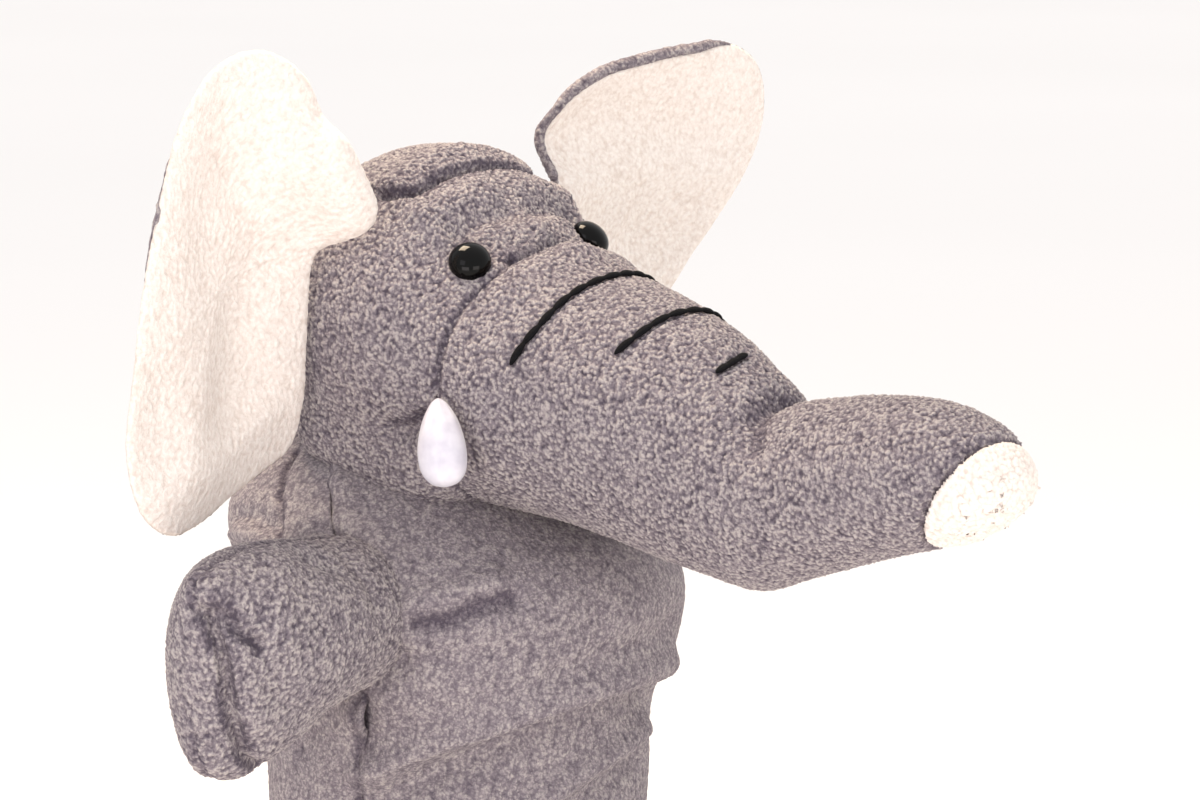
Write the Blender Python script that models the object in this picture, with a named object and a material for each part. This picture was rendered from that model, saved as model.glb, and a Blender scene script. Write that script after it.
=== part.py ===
"""Elephant glove puppet: sewn fleece panels, stuffing, safety eyes and tusks, as separate closed solids.

Frame: metres, +Z up, the face looks along -Y, the puppet's own left is +X. The origin is the middle of the hand
opening, in the plane of the hem. Sizes below are in millimetres, and `f` is the distance forwards (-Y).
"""
import math

import bmesh
import bpy
from mathutils import Matrix, Vector

MM = 0.001

# Driving dimensions, mm
FLEECE = 2.0              # thickness of the fleece
SEAM = 0.45               # half the gap that a seam leaves between two panels
CLEAR = 0.6               # gap between a panel and its stuffing
HEM_HEIGHT = 14.0
HEM_WALL = 3.4
NECK_RADIUS = 25.0
NECK_Z = (155.2, 159.4)
COLLAR_Z = 156.6
COLLAR_LOW = (-3.0, 44.0, 41.0)     # forward shift, half width and half depth of the collar's lower edge
COLLAR_HIGH = (-14.0, 41.0, 36.0)   # and of its upper edge
COLLAR_RISE = 7.0
COLLAR_SLOPE = 0.33
FINGER_RADIUS = 11.5      # inside of the finger pocket in the head
FINGER_TOP_Z = 224.0
EYE_RADIUS = 6.0
EYE_HEIGHT = 4.3
SHANK_RADIUS = 1.5
TUSK_LENGTH = 26.0
TUSK_RADIUS = 7.0
THREAD_RADIUS = 1.0

# Joint axes, mm: a moving piece has its origin on its joint's axis
NECK_TURN = (0.0, 0.0, 157.0)
NECK_NOD = (0.0, 0.0, 160.0)
ARM_SWING_X = 64.0
ARM_SWING_F = {1: 4.0, -1: 13.0}   # the left arm is drawn back, the right one reaches out
GUSSET_X = 57.0            # where a shoulder gusset starts, inside the armhole
TRUNK_LIFT = (0.0, 70.0, 196.0)
TRUNK_CURL = (0.0, 119.5, 180.0)
EAR_ROOT_X = 55.0

# Head and trunk: cross sections from the back of the head to the tip of the trunk.
# Each is (top f, top z, bottom f, bottom z, half width).
HEAD_SECTIONS = (
    (-48.6, 216.0, -48.6, 214.0, 1.0),
    (-47.0, 227.0, -47.0, 203.0, 14.0),
    (-43.0, 241.0, -43.0, 189.0, 29.0),
    (-35.0, 253.0, -35.0, 177.5, 40.0),
    (-21.0, 262.0, -21.0, 169.5, 48.5),
    (-4.0, 265.0, -4.0, 166.0, 52.0),
    (14.0, 259.0, 12.0, 165.0, 50.0),
    (32.0, 243.0, 26.0, 164.0, 45.0),
    (50.0, 236.5, 40.0, 163.0, 40.0),
    (66.0, 232.5, 53.0, 162.0, 36.0),
    (84.0, 227.5, 70.0, 159.5, 32.0),
    (101.0, 220.5, 88.0, 156.0, 28.5),
    (114.0, 211.0, 104.0, 154.0, 26.0),
    (122.0, 204.5, 115.5, 154.0, 24.5),
    (131.0, 206.0, 126.0, 155.5, 23.5),
    (150.0, 209.5, 147.0, 163.0, 21.5),
    (170.0, 211.0, 164.0, 169.0, 20.5),
    (186.0, 208.0, 176.0, 172.5, 18.5),
    (196.0, 202.0, 184.0, 175.5, 15.0),
    (201.0, 195.0, 191.0, 179.5, 9.0),
    (201.0, 188.6, 200.2, 186.6, 1.2),
)
BRIDGE_SECTION = 7.28     # seam between the head and the snout
CHIN_SECTION = 6.35       # front edge of the neck opening
NAPE_SECTION = 4.1        # back edge of the neck opening
NECK_ARC = (246.0, 294.0)
CROWN_ARC = (66.0, 114.0)
LIFT_FOLD = (9.05, 10.0)  # sections between which the trunk's root folds
CURL_FOLD = (12.35, 14.0)
TIP_PATCH_SECTION = 16.95
TIP_PATCH_ARC = (157.0, 383.0)
# Embroidered creases: the section, and the first and last angle of each line
CREASES = ((8.8, 24.0, 157.0), (10.28, 40.0, 141.0), (11.5, 90.0, 121.0))
EYE_SECTION = 6.93
EYE_ANGLE = 56.5

# Glove body: cross sections from the hem up. Each is (z, forward shift, half width, half depth).
BODY_SECTIONS = (
    (0.0, 0.0, 60.0, 49.0),
    (14.0, 0.0, 60.0, 49.0),
    (40.0, 0.0, 60.0, 49.0),
    (75.0, 1.0, 61.0, 51.0),
    (100.0, 1.0, 61.0, 53.0),
    (118.0, 3.0, 66.0, 59.0),
    (134.0, 3.0, 68.0, 63.0),
    (145.0, 0.5, 65.0, 59.0),
    (151.5, -2.0, 58.0, 52.0),
    (154.2, -3.0, 49.0, 46.0),
    (155.0, 0.0, 29.0, 29.0),
)
ARMHOLE_Z = (117.0, 150.0)
ARMHOLE_HALF_ARC = 26.0
ARM_SEAM_GAP = 0.35         # half the gap between an arm's front and back panel at the seam
ARM_SEAM_ANGLE = 4.2

# Arms: cross sections from the armhole to the tip.
# Each is (outward, forward, z, half height, half depth).
RIGHT_ARM = (
    (72.0, 14.0, 137.0, 20.5, 22.0),
    (82.0, 17.0, 139.0, 26.5, 24.0),
    (96.0, 21.0, 138.5, 28.0, 24.0),
    (109.0, 25.0, 138.0, 28.5, 20.5),
    (119.0, 28.0, 139.0, 27.0, 14.0),
    (125.5, 29.5, 141.0, 24.5, 8.0),
    (128.5, 30.0, 142.0, 20.0, 4.0),
)
LEFT_ARM = (
    (70.5, -6.0, 135.0, 19.0, 12.5),
    (76.0, -13.0, 131.5, 23.0, 13.5),
    (83.0, -21.0, 127.0, 25.0, 14.0),
    (90.0, -29.0, 123.0, 25.0, 13.5),
    (95.5, -35.5, 119.5, 24.0, 11.0),
    (99.0, -39.5, 117.5, 22.0, 8.0),
    (100.5, -41.3, 116.7, 19.0, 4.4),
)

# Ears: outlines that start at the lower end of the root and run round to its upper end, and the root itself.
# Each point is (outward, forward, z).
RIGHT_EAR_EDGE = (
    (57.0, -12.0, 183.0), (68.0, -11.0, 179.0), (82.0, -8.0, 174.5), (98.0, -3.0, 171.0), (111.0, 0.0, 171.0),
    (121.0, 0.0, 178.0), (125.0, 0.0, 194.0), (123.0, 0.0, 213.0), (118.0, -3.0, 236.0), (113.0, -5.0, 260.0),
    (106.0, -5.0, 281.0), (92.0, -2.0, 293.0), (75.0, 4.0, 295.0), (61.0, 10.0, 286.0), (52.5, 15.0, 272.0),
    (48.5, 16.0, 258.0), (50.0, 9.0, 249.0),
)
RIGHT_EAR_ROOT = ((55.0, -13.0, 186.0), (55.0, -10.0, 216.0), (54.0, -3.0, 244.0))
LEFT_EAR_EDGE = (
    (57.0, -12.0, 183.0), (68.0, -14.0, 180.0), (82.0, -14.0, 184.0), (94.0, -13.0, 194.0), (104.0, -11.0, 207.0),
    (114.0, -8.0, 220.0), (126.0, -5.0, 235.0), (137.0, -2.0, 251.0), (142.0, -1.0, 267.0), (138.0, -1.0, 281.0),
    (124.0, -3.0, 288.5), (106.0, -6.0, 288.5), (88.0, -8.0, 286.5), (70.0, -10.0, 283.0), (55.0, -12.0, 275.0),
    (48.0, -12.0, 264.0), (50.0, -9.0, 254.0),
)
LEFT_EAR_ROOT = ((55.0, -13.0, 186.0), (55.0, -11.0, 216.0), (54.0, -8.0, 247.0))
EAR_CUP = 7.0             # how far an ear's middle is hollowed backwards


def clear_scene():
    for thing in list(bpy.data.objects):
        bpy.data.objects.remove(thing, do_unlink=True)


def finish(name, colour, roughness):
    """A Principled material in a linear base colour."""
    material = bpy.data.materials.new(name)
    material.use_nodes = True
    shader = material.node_tree.nodes["Principled BSDF"]
    shader.inputs["Base Color"].default_value = (*colour, 1.0)
    shader.inputs["Roughness"].default_value = roughness
    shader.inputs["Metallic"].default_value = 0.0
    return material


def place(outward, forward, up):
    """A point in metres from millimetres, with forwards along -Y."""
    return Vector((outward, -forward, up)) * MM


def spline_value(rows, at):
    """Catmull-Rom value of a table of rows at a fractional row number."""
    last = len(rows) - 1
    low = min(max(int(math.floor(at)), 0), last - 1)
    part = at - low
    p0, p1, p2, p3 = (rows[min(max(low + step, 0), last)] for step in (-1, 0, 1, 2))
    return tuple(
        0.5 * (2 * b + (c - a) * part + (2 * a - 5 * b + 4 * c - d) * part ** 2
               + (3 * b - a - 3 * c + d) * part ** 3)
        for a, b, c, d in zip(p0, p1, p2, p3))


def spaced(start, end, steps):
    return [start + (end - start) * number / steps for number in range(steps + 1)]


def head_point(section, angle):
    """Point on the outer surface of the head and trunk: 0 degrees is the left side, 90 the top."""
    top_f, top_z, low_f, low_z, half = spline_value(HEAD_SECTIONS, section)
    turn = math.radians(angle)
    lift = 0.5 + 0.5 * math.sin(turn)
    return place(half * math.cos(turn), low_f + (top_f - low_f) * lift, low_z + (top_z - low_z) * lift)


def body_point(row, angle):
    """Point on the outer surface of the glove: 0 degrees is the left side, 90 the front."""
    up, shift, half_width, half_depth = spline_value(BODY_SECTIONS, row)
    turn = math.radians(angle)
    return place(half_width * math.cos(turn), shift + half_depth * math.sin(turn), up)


def body_row(height):
    """Row number of the glove's sections at a height."""
    rows = spaced(0.0, len(BODY_SECTIONS) - 1, 900)
    return min(rows, key=lambda row: abs(spline_value(BODY_SECTIONS, row)[0] - height))


def arm_point(sections, side, row, angle):
    """Point on an arm's outer surface, with side 1 for the left arm and -1 for the right one."""
    outward, forward, up, half_height, half_depth = spline_value(sections, row)
    turn = math.radians(angle)
    ahead = spline_value(sections, min(row + 0.1, len(sections) - 1))
    behind = spline_value(sections, max(row - 0.1, 0))
    run = Vector((ahead[0] - behind[0], ahead[1] - behind[1], 0)).normalized()
    across = half_depth * math.sin(turn)
    return place(side * (outward - across * run.y), forward + across * run.x,
                 up + half_height * math.cos(turn))


def add_object(name, mesh, material, pivot):
    """Link a mesh as a named object whose origin is at the pivot, mm."""
    origin = place(*pivot)
    mesh.transform(Matrix.Translation(-origin))
    mesh.materials.append(material)
    thing = bpy.data.objects.new(name, mesh)
    thing.location = origin
    bpy.context.scene.collection.objects.link(thing)
    mesh.shade_smooth()
    mesh.set_sharp_from_angle(angle=math.radians(40))
    return thing


def outward_mesh(name, work):
    """Turn a bmesh into a mesh whose faces point out."""
    bmesh.ops.recalc_face_normals(work, faces=work.faces)
    if work.calc_volume(signed=True) < 0:
        bmesh.ops.reverse_faces(work, faces=work.faces)
    mesh = bpy.data.meshes.new(name)
    work.to_mesh(mesh)
    work.free()
    return mesh


def offset_grids(surface, rows, angles, depths):
    """The surface's grid of points, moved inwards along its normals by each depth, mm.

    Angles that go all the way round share their first and last column.
    """
    closed = abs(angles[-1] - angles[0]) > 359.9
    ring = angles[:-1] if closed else angles
    grid = [[surface(row, angle) for angle in ring] for row in rows]
    count = len(ring)

    def normal(i, j):
        before = grid[max(i - 1, 0)][j]
        after = grid[min(i + 1, len(rows) - 1)][j]
        around = surface(rows[i], ring[j] + 3.0) - surface(rows[i], ring[j] - 3.0)
        return around.cross(after - before).normalized()

    normals = [[normal(i, j) for j in range(count)] for i in range(len(rows))]
    middle = sum((point for line in grid for point in line), Vector()) / (len(rows) * count)
    votes = sum((point - middle).dot(out) for line, outs in zip(grid, normals) for point, out in zip(line, outs))
    sign = MM if votes > 0 else -MM
    return [[[point - out * sign * depth for point, out in zip(line, outs)] for line, outs in zip(grid, normals)]
            for depth in depths]


def shell(name, surface, rows, angles, material, pivot, keep=None, offset=0.0, wall=FLEECE):
    """A panel cut from a surface: the grid of rows and angles, thickened inwards by the wall.

    `keep` says which cells are cloth, and leaves the others out for openings.
    """
    work = bmesh.new()
    layers = [[[work.verts.new(point) for point in line] for line in grid]
              for grid in offset_grids(surface, rows, angles, (offset, offset + wall))]
    count = len(layers[0][0])
    edge_use = {}
    for i in range(len(rows) - 1):
        for j in range(len(angles) - 1):
            if keep and not keep((rows[i] + rows[i + 1]) / 2, (angles[j] + angles[j + 1]) / 2):
                continue
            corners = ((i, j), (i + 1, j), (i + 1, (j + 1) % count), (i, (j + 1) % count))
            for layer in layers:
                work.faces.new([layer[a][b] for a, b in corners])
            for one, two in zip(corners, corners[1:] + corners[:1]):
                key = tuple(sorted((one, two)))
                edge_use[key] = edge_use.get(key, 0) + 1
    for (one, two), uses in edge_use.items():
        if uses == 1:
            work.faces.new([layers[0][one[0]][one[1]], layers[0][two[0]][two[1]],
                            layers[1][two[0]][two[1]], layers[1][one[0]][one[1]]])
    bmesh.ops.delete(work, geom=[vert for vert in work.verts if not vert.link_faces], context="VERTS")
    return add_object(name, outward_mesh(name, work), material, pivot)


def solid(name, surface, rows, steps, depth, material, pivot):
    """A closed filling: rings of the surface, moved inwards by a depth, with capped ends."""
    work = bmesh.new()
    grid, = offset_grids(surface, rows, spaced(0, 360, steps), (depth,))
    rings = [[work.verts.new(point) for point in line] for line in grid]
    for low, high in zip(rings, rings[1:]):
        for step in range(steps):
            follow = (step + 1) % steps
            work.faces.new((low[step], low[follow], high[follow], high[step]))
    work.faces.new(rings[0])
    work.faces.new(rings[-1])
    return add_object(name, outward_mesh(name, work), material, pivot)


def turned(name, profile, steps, base, direction, material, pivot):
    """A solid of revolution: profile of (radius, height) in mm along a direction, closed at both ends."""
    work = bmesh.new()
    aim = direction.to_track_quat("Z", "Y")
    rings = []
    for radius, height in profile:
        if radius == 0:
            rings.append([work.verts.new(base + aim @ (Vector((0, 0, height)) * MM))])
            continue
        rings.append([work.verts.new(base + aim @ (Vector((radius * math.cos(2 * math.pi * step / steps),
                                                           radius * math.sin(2 * math.pi * step / steps),
                                                           height)) * MM)) for step in range(steps)])
    for low, high in zip(rings, rings[1:]):
        for step in range(steps):
            follow = (step + 1) % steps
            corners = (low[step % len(low)], low[follow % len(low)],
                       high[follow % len(high)], high[step % len(high)])
            corners = list(dict.fromkeys(corners))
            if len(corners) > 2:
                work.faces.new(corners)
    if profile[0] == profile[-1]:
        bmesh.ops.remove_doubles(work, verts=work.verts, dist=1e-7)
    else:
        for ring in (rings[0], rings[-1]):
            if len(ring) > 1:
                work.faces.new(ring)
    return add_object(name, outward_mesh(name, work), material, pivot)


def cut(target, cutter):
    """Take the cutter's volume away from the target, then drop the cutter."""
    modifier = target.modifiers.new("cut", "BOOLEAN")
    modifier.operation = "DIFFERENCE"
    modifier.solver = "EXACT"
    modifier.object = cutter
    bpy.context.view_layer.objects.active = target
    bpy.context.view_layer.update()
    bpy.ops.object.modifier_apply(modifier=modifier.name)
    bpy.data.objects.remove(cutter, do_unlink=True)


def surface_normal(section, angle):
    """Outward normal of the head's surface."""
    along = head_point(section + 0.05, angle) - head_point(section - 0.05, angle)
    around = head_point(section, angle + 1.0) - head_point(section, angle - 1.0)
    normal = around.cross(along).normalized()
    centre = (head_point(section, 0.0) + head_point(section, 180.0)) / 2
    return normal if normal.dot(head_point(section, angle) - centre) > 0 else -normal


def build_glove(fleece):
    """The hollow body: hem band and a front and a back panel with an armhole at each side seam."""
    hem_rows = spaced(0.0, body_row(HEM_HEIGHT), 1)
    shell("hem_band", body_point, hem_rows, spaced(0, 360, 40), fleece, (0, 0, 0), offset=-0.2, wall=HEM_WALL)
    hole_low, hole_high = body_row(ARMHOLE_Z[0]), body_row(ARMHOLE_Z[1])
    start = body_row(HEM_HEIGHT + 2 * SEAM)
    rows = (spaced(start, hole_low, 3) + spaced(hole_low, hole_high, 3)[1:]
            + spaced(hole_high, len(BODY_SECTIONS) - 1, 4)[1:])

    def keep(row, angle):
        side_gap = min(abs(angle % 180), 180 - abs(angle % 180))
        return not (hole_low < row < hole_high and side_gap < ARMHOLE_HALF_ARC)

    edge = math.degrees(SEAM / 60.0)
    for name, first in (("glove_front", 0.0), ("glove_back", 180.0)):
        sides = spaced(first + edge, first + ARMHOLE_HALF_ARC, 2)
        middle = spaced(first + ARMHOLE_HALF_ARC, first + 180 - ARMHOLE_HALF_ARC, 12)[1:]
        far = spaced(first + 180 - ARMHOLE_HALF_ARC, first + 180 - edge, 2)[1:]
        shell(name, body_point, rows, sides + middle + far, fleece, (0, 0, 0), keep=keep)


def build_arm(side_name, side, sections, fleece):
    """A mitt for one finger: a front and a back panel joined along the top, the tip and the underside."""
    pivot = (side * ARM_SWING_X, ARM_SWING_F[side], sections[0][2])
    last = len(sections) - 1
    rows = spaced(0, last - 1, 6) + [last]
    for panel, first, apart in (("front", 0.0, ARM_SEAM_GAP), ("back", 180.0, -ARM_SEAM_GAP)):
        def surface(row, angle):
            return arm_point(sections, side, row, angle) + place(0, apart, 0)

        angles = spaced(first + ARM_SEAM_ANGLE, first + 180 - ARM_SEAM_ANGLE, 10)
        shell(f"{side_name}_arm_{panel}", surface, rows, angles, fleece, pivot)
    middle_z = (ARMHOLE_Z[0] + ARMHOLE_Z[1]) / 2
    half_z = (ARMHOLE_Z[1] - ARMHOLE_Z[0]) / 2 - 2.8

    def gusset(row, angle):
        turn = math.radians(angle)
        inner = place(side * GUSSET_X, 4.0 + 20.0 * math.sin(turn), middle_z + half_z * math.cos(turn))
        outer = arm_point(sections, side, 0, angle)
        ahead = arm_point(sections, side, 0.1, 0) - arm_point(sections, side, 0, 0)
        return inner.lerp(outer - ahead.normalized() * 2 * SEAM * MM, row)

    shell(f"{side_name}_shoulder_gusset", gusset, spaced(0, 1, 2), spaced(0, 360, 24), fleece, pivot, wall=1.4)


def build_neck(fleece):
    """The neck tube that joins the glove to the head, and the loose collar that closes the nape round it."""
    outer, inner = NECK_RADIUS, NECK_RADIUS - FLEECE
    low, high = NECK_Z
    tube = ((inner, low), (outer, low), (outer, high), (inner, high), (inner, low))
    turned("neck_tube", tube, 32, Vector(), Vector((0, 0, 1)), fleece, NECK_TURN)

    def collar(row, angle):
        turn = math.radians(angle)
        shift, half_width, half_depth = (a + (b - a) * row for a, b in zip(COLLAR_LOW, COLLAR_HIGH))
        forward = shift + half_depth * math.sin(turn)
        level = COLLAR_Z + row * (COLLAR_RISE + COLLAR_SLOPE * (COLLAR_HIGH[2] - half_depth * math.sin(turn)))
        return place(half_width * math.cos(turn), forward, level)

    shell("neck_gusset", collar, spaced(0, 1, 2), spaced(0, 360, 32), fleece, NECK_NOD, wall=1.5)


def build_head(fleece, filling):
    """Two side panels, a crown, a chin and the snout, round one stuffing with a finger pocket."""
    rise = 1.2
    back = spaced(0, NAPE_SECTION, 6)
    opening = spaced(NAPE_SECTION, CHIN_SECTION, 3)[1:]
    front = spaced(CHIN_SECTION, BRIDGE_SECTION - 0.04, 2)[1:]
    rows = back + opening + front

    right = spaced(CROWN_ARC[1] + rise, NECK_ARC[0], 8) + spaced(NECK_ARC[0], 270 - rise, 2)[1:]
    left = [180 - angle for angle in right]
    right_side = shell("head_right_side", head_point, rows, right, fleece, NECK_NOD,
                       keep=lambda row, angle: row < NAPE_SECTION or angle < NECK_ARC[0])
    left_side = shell("head_left_side", head_point, rows, left, fleece, NECK_NOD,
                      keep=lambda row, angle: row < NAPE_SECTION or angle > 180 - NECK_ARC[0])
    shell("head_crown", head_point, rows, spaced(CROWN_ARC[0] + rise, CROWN_ARC[1] - rise, 4), fleece, NECK_NOD)
    shell("head_chin", head_point, spaced(CHIN_SECTION, BRIDGE_SECTION - 0.04, 2),
          spaced(NECK_ARC[0] + 2 * rise, NECK_ARC[1] - 2 * rise, 6), fleece, NECK_NOD)
    shell("snout_panel", head_point, spaced(BRIDGE_SECTION + 0.04, LIFT_FOLD[0] - 0.04, 3), spaced(0, 360, 32),
          fleece, NECK_NOD)
    depth = FLEECE + CLEAR
    stuffing = solid("head_stuffing", head_point, spaced(1.0, LIFT_FOLD[0] - 0.2, 13), 26, depth + 0.9, filling,
                     NECK_NOD)
    finger = FINGER_RADIUS + FLEECE + CLEAR
    well = turned("well", ((finger, 150), (finger, FINGER_TOP_Z - 6), (finger * 0.72, FINGER_TOP_Z + 1),
                           (0, FINGER_TOP_Z + 4)), 24, Vector(), Vector((0, 0, 1)), filling, NECK_NOD)
    cut(stuffing, well)
    low = 167.6
    wide = FINGER_RADIUS + FLEECE
    pocket = ((FINGER_RADIUS, low), (wide, low), (wide, FINGER_TOP_Z - 6), (wide * 0.7, FINGER_TOP_Z),
              (0, FINGER_TOP_Z + 2), (0, FINGER_TOP_Z), (FINGER_RADIUS * 0.7, FINGER_TOP_Z - 2),
              (FINGER_RADIUS, FINGER_TOP_Z - 8), (FINGER_RADIUS, low))
    turned("finger_pocket", pocket, 24, Vector(), Vector((0, 0, 1)), fleece, NECK_NOD)
    return {1: left_side, -1: right_side}, stuffing


def build_eye(side_name, side, panel, stuffing, gloss, washer_finish):
    """A safety eye: a glossy dome with a shank through the panel, and a lock washer behind it."""
    angle = EYE_ANGLE if side > 0 else 180 - EYE_ANGLE
    base = head_point(EYE_SECTION, angle)
    out = surface_normal(EYE_SECTION, angle)
    seat = 0.5
    dome = [(EYE_RADIUS * math.cos(math.radians(turn)), seat + 0.6 + EYE_HEIGHT * math.sin(math.radians(turn)))
            for turn in (0, 20, 40, 62)]
    profile = [(0, -7.0), (SHANK_RADIUS, -7.0), (SHANK_RADIUS, seat), (EYE_RADIUS * 0.94, seat), *dome,
               (0, seat + 0.6 + EYE_HEIGHT)]
    turned(f"{side_name}_eye", profile, 20, base, out, gloss, NECK_NOD)
    hole = SHANK_RADIUS + 0.5
    cut(panel, turned("hole", ((0, -6), (hole, -6), (hole, 4), (0, 4)), 16, base, out, gloss, NECK_NOD))
    room = EYE_RADIUS + 0.8
    cut(stuffing, turned("room", ((0, -8), (room, -8), (room, 3), (0, 3)), 20, base, out, gloss, NECK_NOD))
    under = -FLEECE - 1.3
    washer = ((SHANK_RADIUS + 0.35, under - 1.0), (EYE_RADIUS * 0.9, under - 1.0), (EYE_RADIUS * 0.9, under),
              (SHANK_RADIUS + 0.35, under), (SHANK_RADIUS + 0.35, under - 1.0))
    turned(f"{side_name}_eye_washer", washer, 20, base, out, washer_finish, NECK_NOD)


def build_tusk(side_name, side, satin):
    """A small stuffed tusk: pointed where it is sewn to the cheek, round at its free end."""
    top = place(side * 47.0, 42.0, 202.0)
    bottom = place(side * 52.5, 46.5, 177.0)
    shape = [(0, 0), (2.0, 1.6), (4.6, 7.0), (6.5, 13.0), (TUSK_RADIUS, 17.5), (6.2, 21.8), (3.6, 25.0),
             (0, TUSK_LENGTH)]
    turned(f"{side_name}_tusk", shape, 16, top, (bottom - top).normalized(), satin, NECK_NOD)


def ear_surface(edge, root, side):
    """A fan of lines from the root to the edge, hollowed backwards in the middle."""
    def point(across, along):
        share = along / 360.0
        tip = spline_value(edge, share * (len(edge) - 1))
        base = spline_value(root, share * (len(root) - 1))
        cup = EAR_CUP * 4 * across * (1 - across) * math.sin(math.pi * share)
        out, forward, up = (b + (t - b) * across for b, t in zip(base, tip))
        return place(side * out, forward - cup, up)
    return point


def build_ear(side_name, side, edge, root, cream, grey):
    """An ear: a cream lining in front and a grey panel behind."""
    pivot = (side * EAR_ROOT_X, root[1][1], root[1][2])
    surface = ear_surface(edge, root, side)
    across = spaced(0, 1, 4)
    along = spaced(0, 350, 24)
    ear_panel(f"{side_name}_ear_front", surface, across, along, cream, pivot, 0.25)
    ear_panel(f"{side_name}_ear_back", surface, across, along, grey, pivot, -0.25 - FLEECE)


def ear_panel(name, surface, across, along, material, pivot, front):
    """One thickness of an ear, between two offsets forwards of its middle surface."""
    work = bmesh.new()
    layers = []
    for depth in (front, front + FLEECE):
        layers.append([[work.verts.new(surface(a, b * 360 / along[-1]) + place(0, depth, 0)) for b in along]
                       for a in across])
    rows, columns = len(across), len(along)
    for i in range(rows - 1):
        for j in range(columns - 1):
            for layer in layers:
                work.faces.new((layer[i][j], layer[i + 1][j], layer[i + 1][j + 1], layer[i][j + 1]))
    border = ([(0, j) for j in range(columns)] + [(i, columns - 1) for i in range(1, rows)]
              + [(rows - 1, j) for j in range(columns - 2, -1, -1)] + [(i, 0) for i in range(rows - 2, 0, -1)])
    for one, two in zip(border, border[1:] + border[:1]):
        work.faces.new([layers[0][one[0]][one[1]], layers[0][two[0]][two[1]],
                        layers[1][two[0]][two[1]], layers[1][one[0]][one[1]]])
    add_object(name, outward_mesh(name, work), material, pivot)


def build_thread(number, section, first, last, thread, pivot):
    """One embroidered crease: a round thread that lies across the top of the trunk."""
    lift = (THREAD_RADIUS + 0.35) * MM
    steps = max(4, round((last - first) / 10))
    path = [head_point(section, angle) + surface_normal(section, angle) * lift
            for angle in spaced(first, last, steps)]
    work = bmesh.new()
    sides = 6
    rings = []
    for place_number, point in enumerate(path):
        ahead = path[min(place_number + 1, len(path) - 1)] - path[max(place_number - 1, 0)]
        aim = ahead.to_track_quat("Z", "Y")
        taper = 0.6 if place_number in (0, len(path) - 1) else 1.0
        rings.append([work.verts.new(point + aim @ Vector((math.cos(2 * math.pi * s / sides),
                                                           math.sin(2 * math.pi * s / sides), 0))
                                     * THREAD_RADIUS * taper * MM) for s in range(sides)])
    for low, high in zip(rings, rings[1:]):
        for s in range(sides):
            work.faces.new((low[s], low[(s + 1) % sides], high[(s + 1) % sides], high[s]))
    work.faces.new(rings[0])
    work.faces.new(rings[-1])
    name = f"trunk_crease_stitch_{number}"
    add_object(name, outward_mesh(name, work), thread, pivot)


def build_trunk(fleece, cream, filling):
    """The trunk beyond the snout: two stuffed stretches with a soft fold before each, and the cream tip."""
    gap = 0.04
    ring = spaced(0, 360, 28)
    shell("trunk_root_fold", head_point, spaced(LIFT_FOLD[0] + gap, LIFT_FOLD[1] - gap, 2),
          ring, fleece, TRUNK_LIFT)
    shell("trunk_base_panel", head_point, spaced(LIFT_FOLD[1] + gap, CURL_FOLD[0] - gap, 4),
          ring, fleece, TRUNK_LIFT)
    shell("trunk_bend_fold", head_point, spaced(CURL_FOLD[0] + gap, CURL_FOLD[1] - gap, 2),
          ring, fleece, TRUNK_CURL)
    last = len(HEAD_SECTIONS) - 1
    edge = 0.06
    patch = TIP_PATCH_SECTION
    turn = 2.0
    rows = (spaced(CURL_FOLD[1] + gap, patch - edge, 4) + [patch + edge] + spaced(patch + edge, last, 5)[1:])
    low, high = TIP_PATCH_ARC
    angles = (spaced(high - 360 + turn, low - turn, 11) + [low + turn]
             + spaced(low + turn, high - turn, 16)[1:]
              + [high + turn])

    def outside(row, angle):
        return row < patch - edge or not low - turn < angle < high + turn

    shell("trunk_end_panel", head_point, rows, angles, fleece, TRUNK_CURL, keep=outside)
    shell("trunk_tip_patch", head_point, rows, angles, cream, TRUNK_CURL,
          keep=lambda row, angle: row > patch + edge and low + turn < angle < high - turn)
    depth = FLEECE + CLEAR + 0.4
    solid("trunk_base_stuffing", head_point, spaced(LIFT_FOLD[1] + 0.1, CURL_FOLD[0] - 0.1, 4), 20, depth, filling,
          TRUNK_LIFT)
    solid("trunk_end_stuffing", head_point, spaced(CURL_FOLD[1] + 0.1, 17.4, 5), 20, depth, filling, TRUNK_CURL)


def main():
    clear_scene()
    grey = finish("grey polyester fleece", (0.306, 0.262, 0.296), 0.95)
    cream = finish("cream polyester fleece", (0.92, 0.83, 0.75), 0.95)
    satin = finish("white polyester satin", (0.9, 0.88, 0.89), 0.35)
    gloss = finish("black moulded plastic", (0.004, 0.004, 0.004), 0.06)
    natural = finish("natural polypropylene", (0.8, 0.8, 0.78), 0.5)
    thread = finish("black embroidery thread", (0.008, 0.008, 0.01), 0.6)
    filling = finish("polyester fibre filling", (0.9, 0.9, 0.9), 1.0)
    build_glove(grey)
    build_arm("right", -1, RIGHT_ARM, grey)
    build_arm("left", 1, LEFT_ARM, grey)
    build_neck(grey)
    sides, stuffing = build_head(grey, filling)
    for side_name, side in (("right", -1), ("left", 1)):
        build_eye(side_name, side, sides[side], stuffing, gloss, natural)
        build_tusk(side_name, side, satin)
    build_ear("right", -1, RIGHT_EAR_EDGE, RIGHT_EAR_ROOT, cream, grey)
    build_ear("left", 1, LEFT_EAR_EDGE, LEFT_EAR_ROOT, cream, grey)
    build_trunk(grey, cream, filling)
    for number, (section, first, last) in enumerate(CREASES, 1):
        build_thread(number, section, first, last, thread, NECK_NOD if number == 1 else TRUNK_LIFT)


main()
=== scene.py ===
"""Elephant glove puppet: sewn fleece, satin tusks, safety eyes and stitching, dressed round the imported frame.

The frame is the CAD's: metres, +Z up, the face looks along -Y and +X is the puppet's own left. Sizes in the
tables below are millimetres, and `f` is the distance forwards (-Y).
"""

import logging
import math
from dataclasses import dataclass
from enum import Enum
from typing import Any, Sequence

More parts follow.
